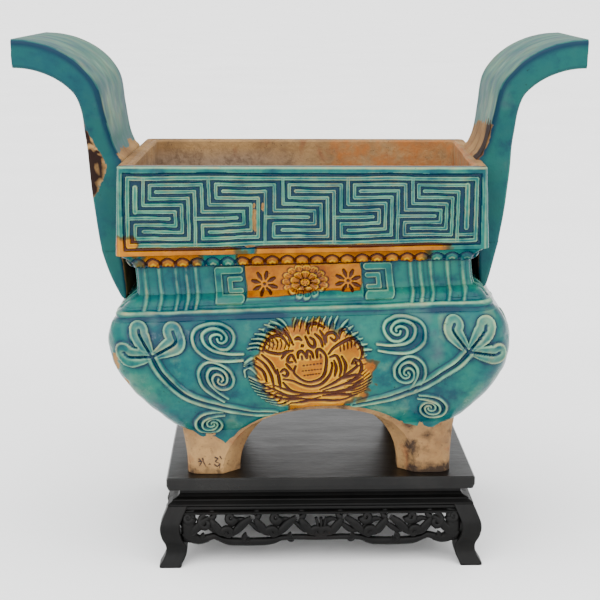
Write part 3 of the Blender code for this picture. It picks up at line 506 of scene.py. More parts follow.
def clay_colour(nodes):
    """Buff fired clay: warm patches, rusty stains, small dark pits."""
    warm = nodes.span(nodes.noise(28.0, 4.0, 0.6), 0.35, 0.68)
    base = nodes.mix(warm, srgb(180, 140, 88), srgb(132, 96, 58))
    rust = nodes.span(nodes.noise(46.0, 5.0, 0.65, distortion=0.6), 0.56, 0.74)
    base = nodes.mix(rust, base, srgb(150, 88, 48))
    grit = nodes.span(nodes.noise(330.0, 4.0, 0.75), 0.60, 0.70)
    return nodes.mix(grit, base, srgb(70, 46, 32))


def glaze_material(name, dull):
    """Fahua glaze: turquoise that pools dark in hollows and breaks pale on edges, amber where masked, with
    a green seam between the two. The deep mask also carries painted shade, and the pale mask a painted
    highlight on the handles' inner faces and over the rim's lip. It thins to grey in patches and ends in
    bare clay; dull roughens it."""
    nodes = Nodes(name)
    tone = nodes.add("ShaderNodeAttribute", attribute_name="tone")
    parts = nodes.add("ShaderNodeSeparateColor")
    nodes.feed(parts.inputs["Color"], tone.outputs["Color"])
    pale, deep, amber = (parts.outputs[key] for key in ("Red", "Green", "Blue"))
    bare = tone.outputs["Alpha"]
    broad = nodes.noise(17.0, 3.0, 0.55)
    cloud = nodes.noise(62.0, 4.0, 0.6)
    fleck = nodes.noise(330.0, 2.0, 0.6)
    base = nodes.mix(nodes.span(broad, 0.36, 0.62), srgb(20, 106, 92), srgb(8, 90, 92))
    base = nodes.mix(nodes.span(cloud, 0.50, 0.74, 0.0, 0.55), base, srgb(54, 128, 106))
    base = nodes.mix(nodes.span(cloud, 0.50, 0.30, 0.0, 0.85), base, srgb(0, 56, 74))
    uneven = nodes.span(cloud, 0.3, 0.7, -0.14, 0.14)
    # Pale share: glaze broken on edges, with painted highlight in places; deep share: pooled glaze and
    # painted shade
    pale_share = nodes.span(nodes.maths("ADD", pale, uneven), 0.10, 0.95, 0.0, 0.90)
    deep_share = nodes.span(nodes.maths("ADD", deep, uneven), 0.04, 0.85, 0.0, 0.96)
    straw = nodes.span(nodes.noise(95.0, 3.0, 0.6), 0.46, 0.66)
    cream = nodes.mix(straw, srgb(142, 188, 146), srgb(176, 172, 120))
    turquoise = nodes.mix(pale_share, base, cream)
    turquoise = nodes.mix(deep_share, turquoise, srgb(0, 44, 68))
    thin = nodes.span(nodes.noise(24.0, 3.0, 0.5), 0.62, 0.72, 0.0, 0.45)
    thin = nodes.maths("MULTIPLY", thin, nodes.maths("SUBTRACT", 1.0, deep_share))
    turquoise = nodes.mix(thin, turquoise, srgb(92, 112, 112))
    honey = nodes.mix(nodes.span(cloud, 0.35, 0.68), srgb(186, 116, 0), srgb(132, 64, 0))
    honey = nodes.mix(pale_share, honey, srgb(232, 182, 30))
    honey = nodes.mix(deep_share, honey, srgb(60, 16, 0))
    amber_edge = nodes.span(cloud, 0.3, 0.7, -0.22, 0.22)
    amber_share = nodes.span(nodes.maths("ADD", amber, amber_edge), 0.36, 0.64)
    green = nodes.maths("MULTIPLY", amber_share, nodes.maths("SUBTRACT", 1.0, amber_share))
    colour = nodes.mix(amber_share, turquoise, honey)
    colour = nodes.mix(nodes.span(green, 0.0, 0.25, 0.0, 0.8), colour, srgb(150, 170, 90), "MULTIPLY")
    speck = nodes.span(fleck, 0.70, 0.78, 0.0, 0.75)
    colour = nodes.mix(speck, colour, srgb(8, 26, 24))
    ragged = nodes.span(nodes.noise(210.0, 4.0, 0.7), 0.3, 0.7, -0.3, 0.3)
    bare_share = nodes.span(nodes.maths("ADD", bare, ragged), 0.44, 0.56)
    burnt = nodes.mix(nodes.span(amber, 0.0, -0.6), clay_colour(nodes), srgb(36, 18, 12))
    colour = nodes.mix(bare_share, colour, burnt)
    glazed_rough = nodes.span(cloud, 0.3, 0.7, 0.13 + dull, 0.30 + dull)
    rough = nodes.maths("MAXIMUM", glazed_rough, nodes.span(bare_share, 0.0, 1.0, 0.0, 0.85))
    rough = nodes.maths("MAXIMUM", rough, nodes.span(pale_share, 0.0, 0.8, 0.0, 0.36))
    normal = nodes.bump(nodes.noise(120.0, 3.0, 0.55), 0.0007, 0.45)
    normal = nodes.bump(fleck, 0.0003, 0.35, normal)
    return nodes.finish(colour, rough, normal, gloss=0.15)


def bare_clay_material():
    """Unglazed fired clay of the feet, lip and inside, with dark smoke and painted shade, orange rust and
    grey by mask.
    """
    nodes = Nodes("bare_buff_clay")
    tone = nodes.add("ShaderNodeAttribute", attribute_name="tone")
    parts = nodes.add("ShaderNodeSeparateColor")
    nodes.feed(parts.inputs["Color"], tone.outputs["Color"])
    smoke_and_shade, orange, grey = (parts.outputs[key] for key in ("Red", "Green", "Blue"))
    patch = nodes.noise(75.0, 5.0, 0.65)
    colour = clay_colour(nodes)
    grey_share = nodes.maths("MULTIPLY", grey, nodes.span(patch, 0.25, 0.7, 0.75, 1.0))
    colour = nodes.mix(grey_share, colour, srgb(156, 132, 110))
    mottle = nodes.span(nodes.noise(110.0, 5.0, 0.7, distortion=0.8), 0.46, 0.62)
    mottle = nodes.maths("MULTIPLY", mottle, nodes.span(grey, 0.0, 1.0, 0.25, 0.8))
    colour = nodes.mix(mottle, colour, srgb(98, 74, 54))
    orange = nodes.maths("ADD", orange, nodes.span(patch, 0.3, 0.7, -0.3, 0.3))
    colour = nodes.mix(nodes.span(orange, 0.40, 0.80, 0.0, 0.85), colour, srgb(180, 108, 48))
    # The dark of smoke, and painted shade under the arches and in the passages
    smoke_and_shade = nodes.maths("ADD", smoke_and_shade, nodes.span(patch, 0.3, 0.7, -0.35, 0.35))
    colour = nodes.mix(nodes.span(smoke_and_shade, 0.35, 0.75, 0.0, 0.92), colour, srgb(34, 20, 14))
    normal = nodes.bump(nodes.noise(300.0, 5.0, 0.7), 0.0012, 0.6)
    normal = nodes.bump(nodes.noise(60.0, 4.0, 0.6), 0.0025, 0.5, normal)
    return nodes.finish(colour, nodes.span(patch, 0.3, 0.7, 0.72, 0.92), normal)


def black_wood_material(name, grain, worn, sheen, shine):
    """Black stained hardwood: fine grain along grain's long axis, greyish patches of rubbed wear and painted
    sheen, as strong as worn.
    """
    nodes = Nodes(name)
    fibre = nodes.noise(1.0, 6.0, 0.7, nodes.mapped(grain), distortion=0.4)
    rub_and_sheen = nodes.noise(19.0, 4.0, 0.6)
    colour = nodes.mix(nodes.span(fibre, 0.35, 0.70), srgb(3, 3, 3), srgb(9, 9, 8))
    # Greyish patches: rubbed wear, and a painted sheen
    colour = nodes.mix(nodes.span(rub_and_sheen, 0.45, 0.72, 0.0, worn), colour, srgb(34, 32, 30))
    red = nodes.span(nodes.noise(33.0, 3.0, 0.5), 0.60, 0.75, 0.0, 0.35)
    colour = nodes.mix(red, colour, srgb(26, 14, 10))
    uneven = nodes.maths("ADD", fibre, nodes.maths("MULTIPLY", rub_and_sheen, 0.6))
    rough = nodes.span(uneven, 0.5, 1.1, sheen + 0.16, sheen)
    normal = nodes.bump(fibre, 0.0004, 0.45)
    normal = nodes.bump(nodes.noise(90.0, 4.0, 0.6), 0.0006, 0.35, normal)
    return nodes.finish(colour, rough, normal, gloss=shine)


def ink_material():
    """Thin brown-black ink, worn through in places."""
    nodes = Nodes("faded_ink")
    worn = nodes.span(nodes.noise(600.0, 3.0, 0.6), 0.45, 0.65)
    colour = nodes.mix(worn, srgb(40, 24, 18), srgb(110, 78, 56))
    rough = nodes.span(worn, 0.0, 1.0, 0.6, 0.85)
    return nodes.finish(colour, rough, nodes.bump(worn, 0.0002, 0.5))


GLAZED = glaze_material("turquoise_and_amber_glaze", 0.0)
STRAP_GLAZED = glaze_material("dulled_strap_glaze", 0.36)
INK = ink_material()
BARE = bare_clay_material()
BOARD_WOOD = black_wood_material("black_board_wear_and_sheen", (11.0, 70.0, 70.0), 0.55, 0.24, 0.19)
TRIM_WOOD = black_wood_material("carved_black_wood", (30.0, 120.0, 120.0), 0.22, 0.38, 0.12)
LEG_WOOD = black_wood_material("polished_black_legs", (140.0, 140.0, 26.0), 0.25, 0.36, 0.12)
GLAZE_LOOK = {"replaces": ("censer",), "slot": "glazed_clay", "material": GLAZED}
STRAP_LOOK = {"replaces": ("censer",), "slot": "glazed_clay", "material": STRAP_GLAZED}


# Sheets of points for each side

def sheet(side, bottom, top, rows, flat_columns, corner_columns):
    """Grid of (d, h): rows at even steps up the outline from bottom(d) to top, columns even over the flat,
    then round both corners where corner_columns is more than none. The columns shift with height, so the
    lowest heights are found by going half the way to bottom, round after round."""
    first_guess, rounds = 40.0, 12
    across = np.linspace(-1.0, 1.0, flat_columns)
    bend = 0.5 * math.pi * np.arange(1, corner_columns + 1) / max(corner_columns, 1)

    def spread(h):
        half_x, half_y, corner = half_sizes(h)
        flat = (half_x if side in WIDE_SIDES else half_y) - corner
        count = corner_columns
        inner = flat[..., count:count + flat_columns] * across
        left = -(flat[..., :count] + corner[..., :count] * bend[::-1])
        right = flat[..., count + flat_columns:] + corner[..., count + flat_columns:] * bend
        return np.concatenate([left, inner, right], axis=-1)

    total = flat_columns + 2 * corner_columns
    low_h = np.full(total, first_guess)
    for _ in range(rounds):
        low_h = 0.5 * low_h + 0.5 * bottom(spread(low_h))
    share = np.linspace(0.0, 1.0, rows)[:, None]
    h = even_heights(low_h[None, :], np.full((1, total), top), share)
    return spread(h), h


def arch_line(d, half_width):
    """Height of the splayed arch's mouth at distance d from its middle: one less the distance's share to
    ARCH_POWER, that to one over ARCH_POWER, times the arch's height."""
    share = np.clip(np.abs(d) / half_width, 0.0, 1.0)
    return (ARCH_H + SPLAY_TOP) * (1.0 - share ** ARCH_POWER) ** (1.0 / ARCH_POWER)


# Where the glaze ends over the front feet, as (d, h) in millimetres, drawn one by one, and at the corners
CORNER_GLAZE_H = 41.0
FRONT_GLAZE_EDGE = ((-118, 41), (-108.5, 42.3), (-102.7, 41), (-98.9, 39.2), (-93.5, 34.7), (-89.7, 32.9),
                    (-83.8, 32.6), (-79.9, 31.9), (-75.2, 28.9), (-72.9, 26.4), (-69.5, 30.0), (-65.0, 33.0),
                    (-60.0, 20.0), (44.0, 20.0), (50.6, 43.0), (62.1, 37.6), (71.0, 36.2), (76.7, 33.3),
                    (81.6, 32.0), (88.6, 33.2), (94.8, 36.7), (106.8, 39.8), (118, 41))


def front_bottom(d):
    """Lower edge of the front's glaze: the drawn line, and round the arch a bare strip that widens
    to the right by smooth_step."""
    edge_d, edge_h = zip(*FRONT_GLAZE_EDGE)
    bare_strip = 1.2 + 2.2 * smooth_step((d + 30.0) / 30.0)
    return np.maximum(np.interp(d, edge_d, edge_h), arch_line(d, ARCH_X + SPLAY_X + bare_strip) + bare_strip)


def back_bottom(d):
    """Lower edge of the back's glaze: a rippled line that climbs by smooth_step to the corners, and the
    arch's mouth between the feet."""
    edge = 36.5 + 2.6 * ripple(d, 0.0 * d, 17.0, 3.0) + 4.5 * smooth_step((np.abs(d) - 96.0) / 18.0)
    edge = np.where(np.abs(d) > 114.0, CORNER_GLAZE_H, edge)
    return np.maximum(edge * smooth_step((np.abs(d) - 58.0) / 6.0), arch_line(d, ARCH_X + SPLAY_X))


def side_bottom(d):
    """The same for a short side."""
    edge = 37.0 + 2.4 * ripple(d, 0.0 * d, 15.0, 5.0)
    edge = edge + (CORNER_GLAZE_H - edge) * smooth_step((np.abs(d) - 62.0) / 6.0)
    return np.maximum(edge * smooth_step((np.abs(d) - 46.0) / 6.0), arch_line(d, ARCH_Y + SPLAY_Y))


def level(height):
    """A sheet's lower edge at one height all along."""
    return lambda d: np.full(d.shape, height)


# Line forms: each row holds a share of half the width, then the height and the paleness there as shares
STRAP = ((0.0, 0.42, 0.0), (0.24, 0.50, 0.05), (0.40, 0.92, 0.75), (0.52, 1.0, 1.0), (0.66, 0.92, 0.35),
         (0.82, 0.62, 0.0), (1.0, 0.0, 0.0))
CORD = ((0.0, 1.0, 1.0), (0.26, 0.98, 0.80), (0.46, 0.82, 0.15), (0.75, 0.42, 0.0), (1.0, 0.0, 0.0))
FLAT = ((0.0, 0.86, 0.16), (0.36, 0.90, 0.26), (0.58, 1.0, 0.80), (0.76, 0.95, 0.80), (0.90, 0.5, 0.1),
        (1.0, 0.0, 0.0))
BAND = ((0.0, 0.86, 0.0), (0.50, 0.90, 0.05), (0.68, 1.0, 0.55), (0.80, 0.95, 0.5), (0.92, 0.5, 0.0),
        (1.0, 0.0, 0.0))
LOBE = ((0.0, 0.25, 0.0), (0.10, 0.30, 0.0), (0.19, 0.72, 0.55), (0.32, 0.80, 0.30), (0.66, 0.84, 0.22),
        (0.82, 1.0, 0.85), (0.92, 0.82, 0.4), (1.0, 0.0, 0.0))
NOTCH = ((0.0, 1.0, 1.0), (0.45, 0.85, 0.9), (1.0, 0.0, 0.0))
LIP = ((0.0, 0.2, 0.0), (0.40, 0.6, 0.2), (0.58, 1.0, 0.9), (0.74, 0.8, 0.5), (1.0, 0.0, 0.0))
RIB = ((0.0, 1.0, 0.55), (0.30, 0.95, 0.30), (0.55, 0.7, 0.0), (0.80, 0.3, 0.0), (1.0, 0.0, 0.0))
SOFT = ((0.0, 1.0, 0.0), (0.6, 0.85, 0.0), (1.0, 0.0, 0.0))


def wander(d, h, size=0.35, scale=22.0, seed=1.0):
    """Hand-made unevenness: the pattern's own coordinates drift by a ripple from place to place."""
    return d + size * ripple(d, h, scale, seed), h + size * ripple(h, d, scale, seed + 4.0)


# Belly

# The two ridges of a scroll in millimetres round its middle, from the tail at the lower right to the eye
SCROLL_OUTER = ((15.8, -17.2), (4.8, -17.5), (-5.5, -16.2), (-12.4, -12.7), (-18.2, -6.2), (-19.6, 0.7),
                (-18.2, 6.9), (-14.1, 11.7), (-5.5, 14.4), (3.1, 14.1), (8.3, 11.0), (11.4, 7.6),
                (12.7, 2.1), (11.0, -3.4), (6.9, -7.2), (3.1, -7.9), (-0.7, -6.9), (-4.8, -3.4), (-5.8, 0.7),
                (-4.1, 3.8), (0.0, 4.8), (3.0, 2.8), (2.8, 0.2))
SCROLL_INNER = ((17.2, -12.0), (8.3, -11.7), (1.4, -10.3), (-4.8, -8.3), (-9.6, -4.5), (-11.7, 0.7),
                (-11.0, 5.8), (-6.9, 9.3), (-1.4, 10.3), (3.4, 8.3), (5.8, 5.2), (6.9, 2.1), (6.2, -1.0),
                (3.1, -2.8), (0.3, -2.1), (-0.5, 0.2))


def scroll(relief, centre, size, turn=0.0, mirror=False, flip=False, press=1.0):
    """A double-ridged scroll: its two lines are sized, flipped, turned by turn degrees, mirrored, and then
    pressed flatter above its middle."""
    angle = math.radians(turn)
    for path, width in ((SCROLL_OUTER, 4.3), (SCROLL_INNER, 4.2)):
        line = curve(path, 5) * size
        if flip:
            line = line * (1, -1)
        line = np.stack([line[:, 0] * math.cos(angle) - line[:, 1] * math.sin(angle),
                         line[:, 0] * math.sin(angle) + line[:, 1] * math.cos(angle)], axis=-1)
        if mirror:
            line = line * (-1, 1)
        line = line * np.where(line[:, 1:] > 0.0, (1.0, press), 1.0)
        relief.stroke(line + centre, width * (0.45 + 0.55 * size), 2.2, CORD, (0.75, 1.0, 1.0, 0.9, 0.72))


def leaf(relief, root, tip, width, bend=0.0):
    """A padded lobe with a raised edge and a sunk vein; bend bows it sideways by a share of its length."""
    root, tip = np.array(root, float), np.array(tip, float)
    along = tip - root
    side = np.array([-along[1], along[0]]) * bend
    line = curve([root, root + 0.35 * along + 0.6 * side, root + 0.7 * along + side, tip - 0.16 * along], 6)
    relief.stroke(line, width, 2.4, LOBE, (0.34, 0.72, 1.0, 1.0))
    relief.stroke(line[:-5], 2.6, 1.3, NOTCH, (0.9, 1.0, 0.8, 0.4), sink=True)


def belly_pattern(relief, front):
    """Stems that sweep up both ways from under the lotus, with scrolls beside them and three-lobed leaves
    at their ends, placed one by one; the back's right stem mirrors its left one."""
    left = [(-117.5, 106.0), (-112.5, 92.5), (-102.0, 78.0), (-90.0, 69.5), (-72.0, 62.5), (-50.0, 56.5),
            (-33.0, 54.5)]
    right = [(117.5, 101.5), (108.0, 92.5), (96.3, 85.0), (84.4, 77.1), (65.0, 69.1), (49.6, 64.3),
             (26.5, 59.7)]
    if not front:
        right = [(-x, h) for x, h in left]
    for stem in (left, right):
        relief.stroke(curve(stem, 8), 10.5, 2.3, STRAP, (1.0, 1.0, 0.95, 0.85, 0.62))
        relief.stroke(curve(stem, 8), 2.9, 1.2, NOTCH, (1.0, 1.0, 0.9, 0.7, 0.4), sink=True)
    scroll(relief, (-66.5, 117.5), 0.96, press=0.76)
    scroll(relief, (-71.5, 86.5), 0.80, turn=-40.0)
    scroll(relief, (-82.5, 47.5), 0.62, flip=True)
    scroll(relief, (69.0, 118.5), 0.96, turn=10.0, mirror=True, press=0.76)
    scroll(relief, (70.5, 86.0), 0.74, turn=-48.0, mirror=True)
    scroll(relief, (85.5, 54.5), 0.62, turn=8.0, mirror=True, flip=True)
    leaf(relief, (-117.5, 107.0), (-142.0, 110.5), 16.5, 0.10)
    leaf(relief, (-118.0, 107.5), (-126.0, 128.5), 15.0, 0.04)
    leaf(relief, (-117.0, 107.0), (-96.0, 126.5), 16.0, -0.20)
    leaf(relief, (118.5, 102.0), (145.0, 99.0), 15.5, -0.06)
    leaf(relief, (118.0, 102.5), (136.5, 124.0), 15.5, -0.04)
    leaf(relief, (117.5, 102.0), (108.5, 126.0), 14.5, 0.12)


def ribs(relief, side, low_h, high_h):
    """Upright ribs on both halves of a side."""
    spots = (81.0, 88.2, 96.0, 108.5, 119.8) if side in WIDE_SIDES else (10.0, 26.0, 43.0, 62.0, 80.0)
    for spot in spots:
        for sign in (-1.0, 1.0):
            relief.stroke([(sign * spot, low_h), (sign * spot, high_h)], 4.6, 1.3, RIB)


# Chips on the belly's front: middle, half width and half height in millimetres
BELLY_CHIPS = ((-152.0, 101.0, 6.5, 8.0), (-147.0, 84.0, 4.5, 4.0))

# Glaze pooled under the ridge on the front: middle and spread of each pool along it in millimetres
POOLS = ((-93.0, 12.0), (-31.0, 24.0), (105.0, 19.0))


def belly(side, rows, flat_columns, corner_columns):
    """Belly from the glaze's lower edge to the seam below the neck: a corded ridge with ribs above it, the
    lotus, stems and leaves on a wide side, and a stem and a scroll each way on a short one."""
    bottom = {"front": front_bottom, "back": back_bottom}.get(side, side_bottom)
    d, h = sheet(side, bottom, SEAM_H, rows, flat_columns, corner_columns)
    relief = Relief(*wander(d, h))
    amber = np.zeros(d.shape)
    bare = np.zeros(d.shape)
    past_corners, groove_h = 170.0, RIDGE_H - 3.6
    relief.stroke([(-past_corners, RIDGE_H), (past_corners, RIDGE_H)], 4.4, 1.3, CORD)
    relief.stroke([(-past_corners, groove_h), (past_corners, groove_h)], 4.0, 0.7, SOFT, sink=True)
    ribs(relief, side, RIDGE_H + 2.0, SEAM_H + 1.8)
    if side in WIDE_SIDES:
        belly_pattern(relief, side == "front")
        lotus(relief, side == "front")
        amber = lotus_amber(d, h)
    else:
        for mirror, sign in ((False, -1.0), (True, 1.0)):
            scroll(relief, (sign * 34.0, 100.0), 0.95, mirror=mirror)
            stem = [(66.0, 122.0), (70.0, 100.0), (58.0, 78.0), (30.0, 68.0)]
            relief.stroke(curve(stem, 8) * (sign, 1.0), 8.5, 2.1, STRAP, (0.6, 1.0, 1.0, 0.7))
    height = relief.height() + 0.28 * ripple(d, h, 13.0, 7.0) + 0.22 * ripple(d, h, 5.0, 9.0)
    if side == "front":
        bare = chips(d, h, BELLY_CHIPS, edge=1.3, ragged=0.3, grain=2.2, seed=23.0)
        height = height - 0.7 * smooth_step(bare)
    above_edge = h - h[:1]
    height = height * smooth_step(above_edge / 1.2) - 0.55 * (1.0 - smooth_step(above_edge / 2.2))
    tone = tone_of(relief, height, cell_size(d, h), amber, bare)
    along = 0.25 + 0.5 * ripple(d, 0.0 * h, 34.0, 11.0)
    if side == "front":
        for middle, spread in POOLS:
            along = np.maximum(along, 1.1 * np.exp(-((d - middle) / spread) ** 2))
    pool = np.clip(1.5 - np.abs(h - groove_h) / 2.2, 0.0, 1.0) * np.clip(along, 0.0, 1.0)
    pale, deep = tone[..., 0], np.maximum(tone[..., 1], pool)
    tone[..., 1] = np.clip(deep + 0.34 * np.maximum(ripple(d, h, 17.0, 73.0), 0.0), 0.0, 1.0)
    tone[..., 0] = np.clip(pale + 0.24 * np.maximum(ripple(d, h, 12.0, 75.0), 0.0), 0.0, 1.0)
    slab(f"censer_belly_{side}", side, d, h, height, tone)


# The lotus is drawn in steps of LOTUS_STEP millimetres from the middle of its seed pod: (right, up)
LOTUS_MIDDLE, LOTUS_STEP = (0.6, 95.5), (0.68, 0.73)
LOTUS_GROOVES = (
    ((7, 17), (13, 16), (16, 9), (14, -1), (10, -11), (3, -16), (-7, -18), (-15, -15), (-21, -9), (-22, -5),
     (-19, 1)),
    ((-29, 3), (-23, -5)),
    ((-35, -14), (-25, -16), (-17, -20), (-8, -23), (3, -22), (11, -17), (17, -10), (21, -1), (21, 3)),
    ((-15, 9), (-14, 14), (-10, 16), (-7, 13), (-6, 9)),
    ((-5, 9), (-4, 15), (-2, 16), (1, 14), (2, 9)),
    ((6, 9), (7, 16), (11, 17), (15, 12)),
    ((-15, 28), (-11, 29), (-8, 27)),
    ((-9, 21), (-7, 22)),
    ((-18, 5), (-21, 12), (-25, 10), (-27, 5), (-22, 5)),
    ((-33, 9), (-27, 15), (-19, 17)),
    ((-52, 18), (-46, 27), (-39, 31), (-32, 32), (-27, 29), (-23, 22)),
    ((-52, 18), (-42, 15), (-33, 14), (-26, 17)),
    ((-39, 42), (-29, 39), (-22, 32), (-18, 23)),
    ((-46, 37), (-36, 37), (-28, 33)),
    ((-61, 10), (-53, 3), (-48, -9), (-47, -23)),
    ((-65, 3), (-56, -5), (-54, -16)),
    ((-54, 13), (-46, 4), (-42, -8)),
    ((-40, -3), (-40, -25)),
    ((-37, -6), (-32, -3), (-29, -7), (-32, -11), (-35, -9)),
    ((-36, -18), (-30, -27), (-22, -29)),
    ((20, 9), (27, 10), (30, 3), (30, -6), (27, -13)),
    ((24, 5), (25, -3), (22, -12)),
    ((19, 12), (27, 19), (47, 27), (54, 21), (56, 11), (53, 5)),
    ((33, 9), (36, -1), (32, -12)),
    ((4, -27), (22, -19), (45, -5), (48, -1), (46, 4)),
    ((43, 0), (47, 5), (53, 1), (51, -9), (37, -20), (7, -29)),
    ((26, -17), (44, -12), (53, -13)),
    ((-3, 30), (0, 22), (5, 20), (6, 26), (2, 29)),
    ((19, 24), (20, 31), (27, 33), (31, 29), (28, 25), (24, 28)),
    ((33, 27), (36, 34), (42, 36), (46, 31)),
    ((1, 33), (2, 40), (10, 42), (19, 38)),
    ((8, 32), (13, 27), (14, 20)),
    ((14, 35), (17, 29), (17, 22)),
    ((-59, -19), (-45, -27), (-29, -34), (3, -32), (30, -31), (48, -24)),
    ((-31, -43), (-13, -41), (3, -36)),
    ((6, -35), (25, -34), (43, -36)),
    ((-46, -21), (-30, -28), (-8, -32), (20, -30)),
    ((-60, -26), (-48, -33), (-36, -38), (-14, -38)),
    ((10, -32), (34, -28), (52, -17)),
    ((-24, -42), (0, -40), (24, -41), (42, -36)),
    ((-46, -30), (-26, -37), (-4, -39)),
)

# Bunches of flames round the lotus in millimetres: first and last root, first and last tip, how many,
# upward bend, and extra length in the middle of the bunch as a share
FLAME_BUNCHES = (
    (((-13.0, 122.0), (-34.0, 108.5)), ((-21.0, 130.5), (-46.0, 110.0)), 8, 2.2, 0.35),
    (((-9.5, 123.0), (21.0, 123.0)), ((-6.5, 130.5), (25.0, 130.5)), 8, 0.6, 0.0),
    (((25.0, 121.0), (38.0, 105.0)), ((32.0, 128.0), (46.0, 106.0)), 6, 0.8, 0.0),
    (((31.0, 97.0), (30.0, 93.0)), ((42.0, 102.0), (41.0, 97.0)), 2, 1.0, 0.0),
    (((24.0, 84.5), (18.0, 71.5)), ((39.0, 93.0), (38.0, 75.0)), 8, -1.8, 0.25),
    (((-34.0, 84.5), (-20.0, 65.5)), ((-49.0, 88.0), (-36.0, 64.0)), 9, -1.8, 0.25),
    (((-41.0, 103.0), (-42.0, 99.0)), ((-50.0, 99.5), (-51.0, 96.5)), 3, 1.0, 0.0),
)

# Lotus seeds in rows: how many, first and last place to the right, height up, all in lotus steps
SEED_ROWS = ((6, -10, 9, 1.5), (7, -12, 8, -4.5), (6, -11, 5, -10.0))


def lotus_place(points):
    """Lotus steps as millimetres on the belly: times the step, plus the flower's middle."""
    return np.array(points, float) * LOTUS_STEP + LOTUS_MIDDLE


def lotus_reach(d, h):
    """Distance from the lotus's middle, as a share of its own half width and half height, which is less
    above the middle than below."""
    middle_d, middle_h, half_wide, half_above, half_below = 0.5, 93.0, 45.0, 34.5, 39.0
    half_high = np.where(h > middle_h, half_above, half_below)
    return np.hypot((d - middle_d) / half_wide, (h - middle_h) / half_high)


def lotus(relief, front):
    """An open flower cut into a low swelling that falls off by smooth_step: a cupped seed pod, curled petals
    and, on the front, flames round its edge."""
    reach = lotus_reach(relief.d, relief.h)
    relief.crest = relief.crest * (reach > 1.0)
    relief.up = np.maximum(relief.up * (reach > 0.9), 2.1 * smooth_step((1.14 - reach) / 0.40))
    relief.stroke(lotus_place([(-12, 0), (8, 1)]), 19.0, 3.0, SOFT)
    for path in LOTUS_GROOVES:
        line = curve(lotus_place(path), 4)
        relief.stroke(line, 6.0, 0.8, LIP, (0.8, 1.0, 1.0, 0.8))
        relief.stroke(line, 3.4, 1.8, NOTCH, (0.6, 1.0, 1.0, 0.6), sink=True)
    for count, start, end, up in SEED_ROWS:
        for share in np.linspace(0.0, 1.0, count):
            spot = lotus_place((start + (end - start) * share, up + 1.5 * share))
            relief.stroke([spot - (0.35, 0), spot + (0.35, 0)], 1.5, 0.8, NOTCH, sink=True)
    for right, up in ((-10.5, 11.0), (-1.5, 11.0), (10.0, 12.0)):
        relief.stroke(lotus_place([(right, up), (right, up - 3.0)]), 2.2, 0.8, NOTCH, sink=True)
    for index in range(6):
        top = np.array((33.0 + 4.2 * index, 23.5 + 0.3 * index - 0.1 * (index - 3) ** 2))
        vein = lotus_place([top, top - (0.5, 8.5 - 0.5 * index)])
        relief.stroke(vein, 1.6, 1.1, NOTCH, (1.0, 0.7), sink=True)
        root = np.array((-46.0 + 4.4 * index, 18.5))
        vein = curve(lotus_place([root, root + (2.5, 5.0), root + (2.0, 9.5)]), 3)
        relief.stroke(vein, 1.6, 1.1, NOTCH, (0.6, 1.0), sink=True)
    if not front:
        return
    for roots, tips, count, bend, swell in FLAME_BUNCHES:
        for share in np.linspace(0.0, 1.0, count):
            root = np.array(roots[0]) * (1.0 - share) + np.array(roots[1]) * share
            tip = np.array(tips[0]) * (1.0 - share) + np.array(tips[1]) * share
            tip = tip + (tip - root) * swell * math.sin(math.pi * share)
            path = curve([root, 0.55 * root + 0.45 * tip + (0.0, bend), tip], 6)
            relief.stroke(path, 3.6, 2.7, CORD, (0.5, 1.0, 0.8, 0.4))
            relief.stroke(path - (0.0, 1.9), 1.8, 0.9, NOTCH, (0.5, 1.0, 0.4), sink=True)
    hook = curve([(-40.0, 86.0), (-46.5, 95.0), (-51.0, 93.5), (-51.5, 88.0)], 6)
    relief.stroke(hook, 3.4, 2.4, CORD, (0.6, 1.0, 0.6))


def lotus_amber(d, h):
    """Amber mask: one inside the lotus, falling to nothing over a third of its reach, on a rippled edge."""
    reach = lotus_reach(d, h) + 0.09 * ripple(d, h, 5.0, 31.0)
    return np.clip(1.0 - (reach - 0.84) / 0.32, 0.0, 1.0)


# Neck and scallops

# Amber trim on the neck's top edge: shares of it at distances along the side, judged
TRIM_STOPS = (-140, -128, -92, -78, -66, -52, -44, 84, 104, 140)
TRIM_AMBER = (0.45, 0.5, 0.72, 0.55, 0.0, 0.0, 0.9, 0.95, 0.0, 0.0)


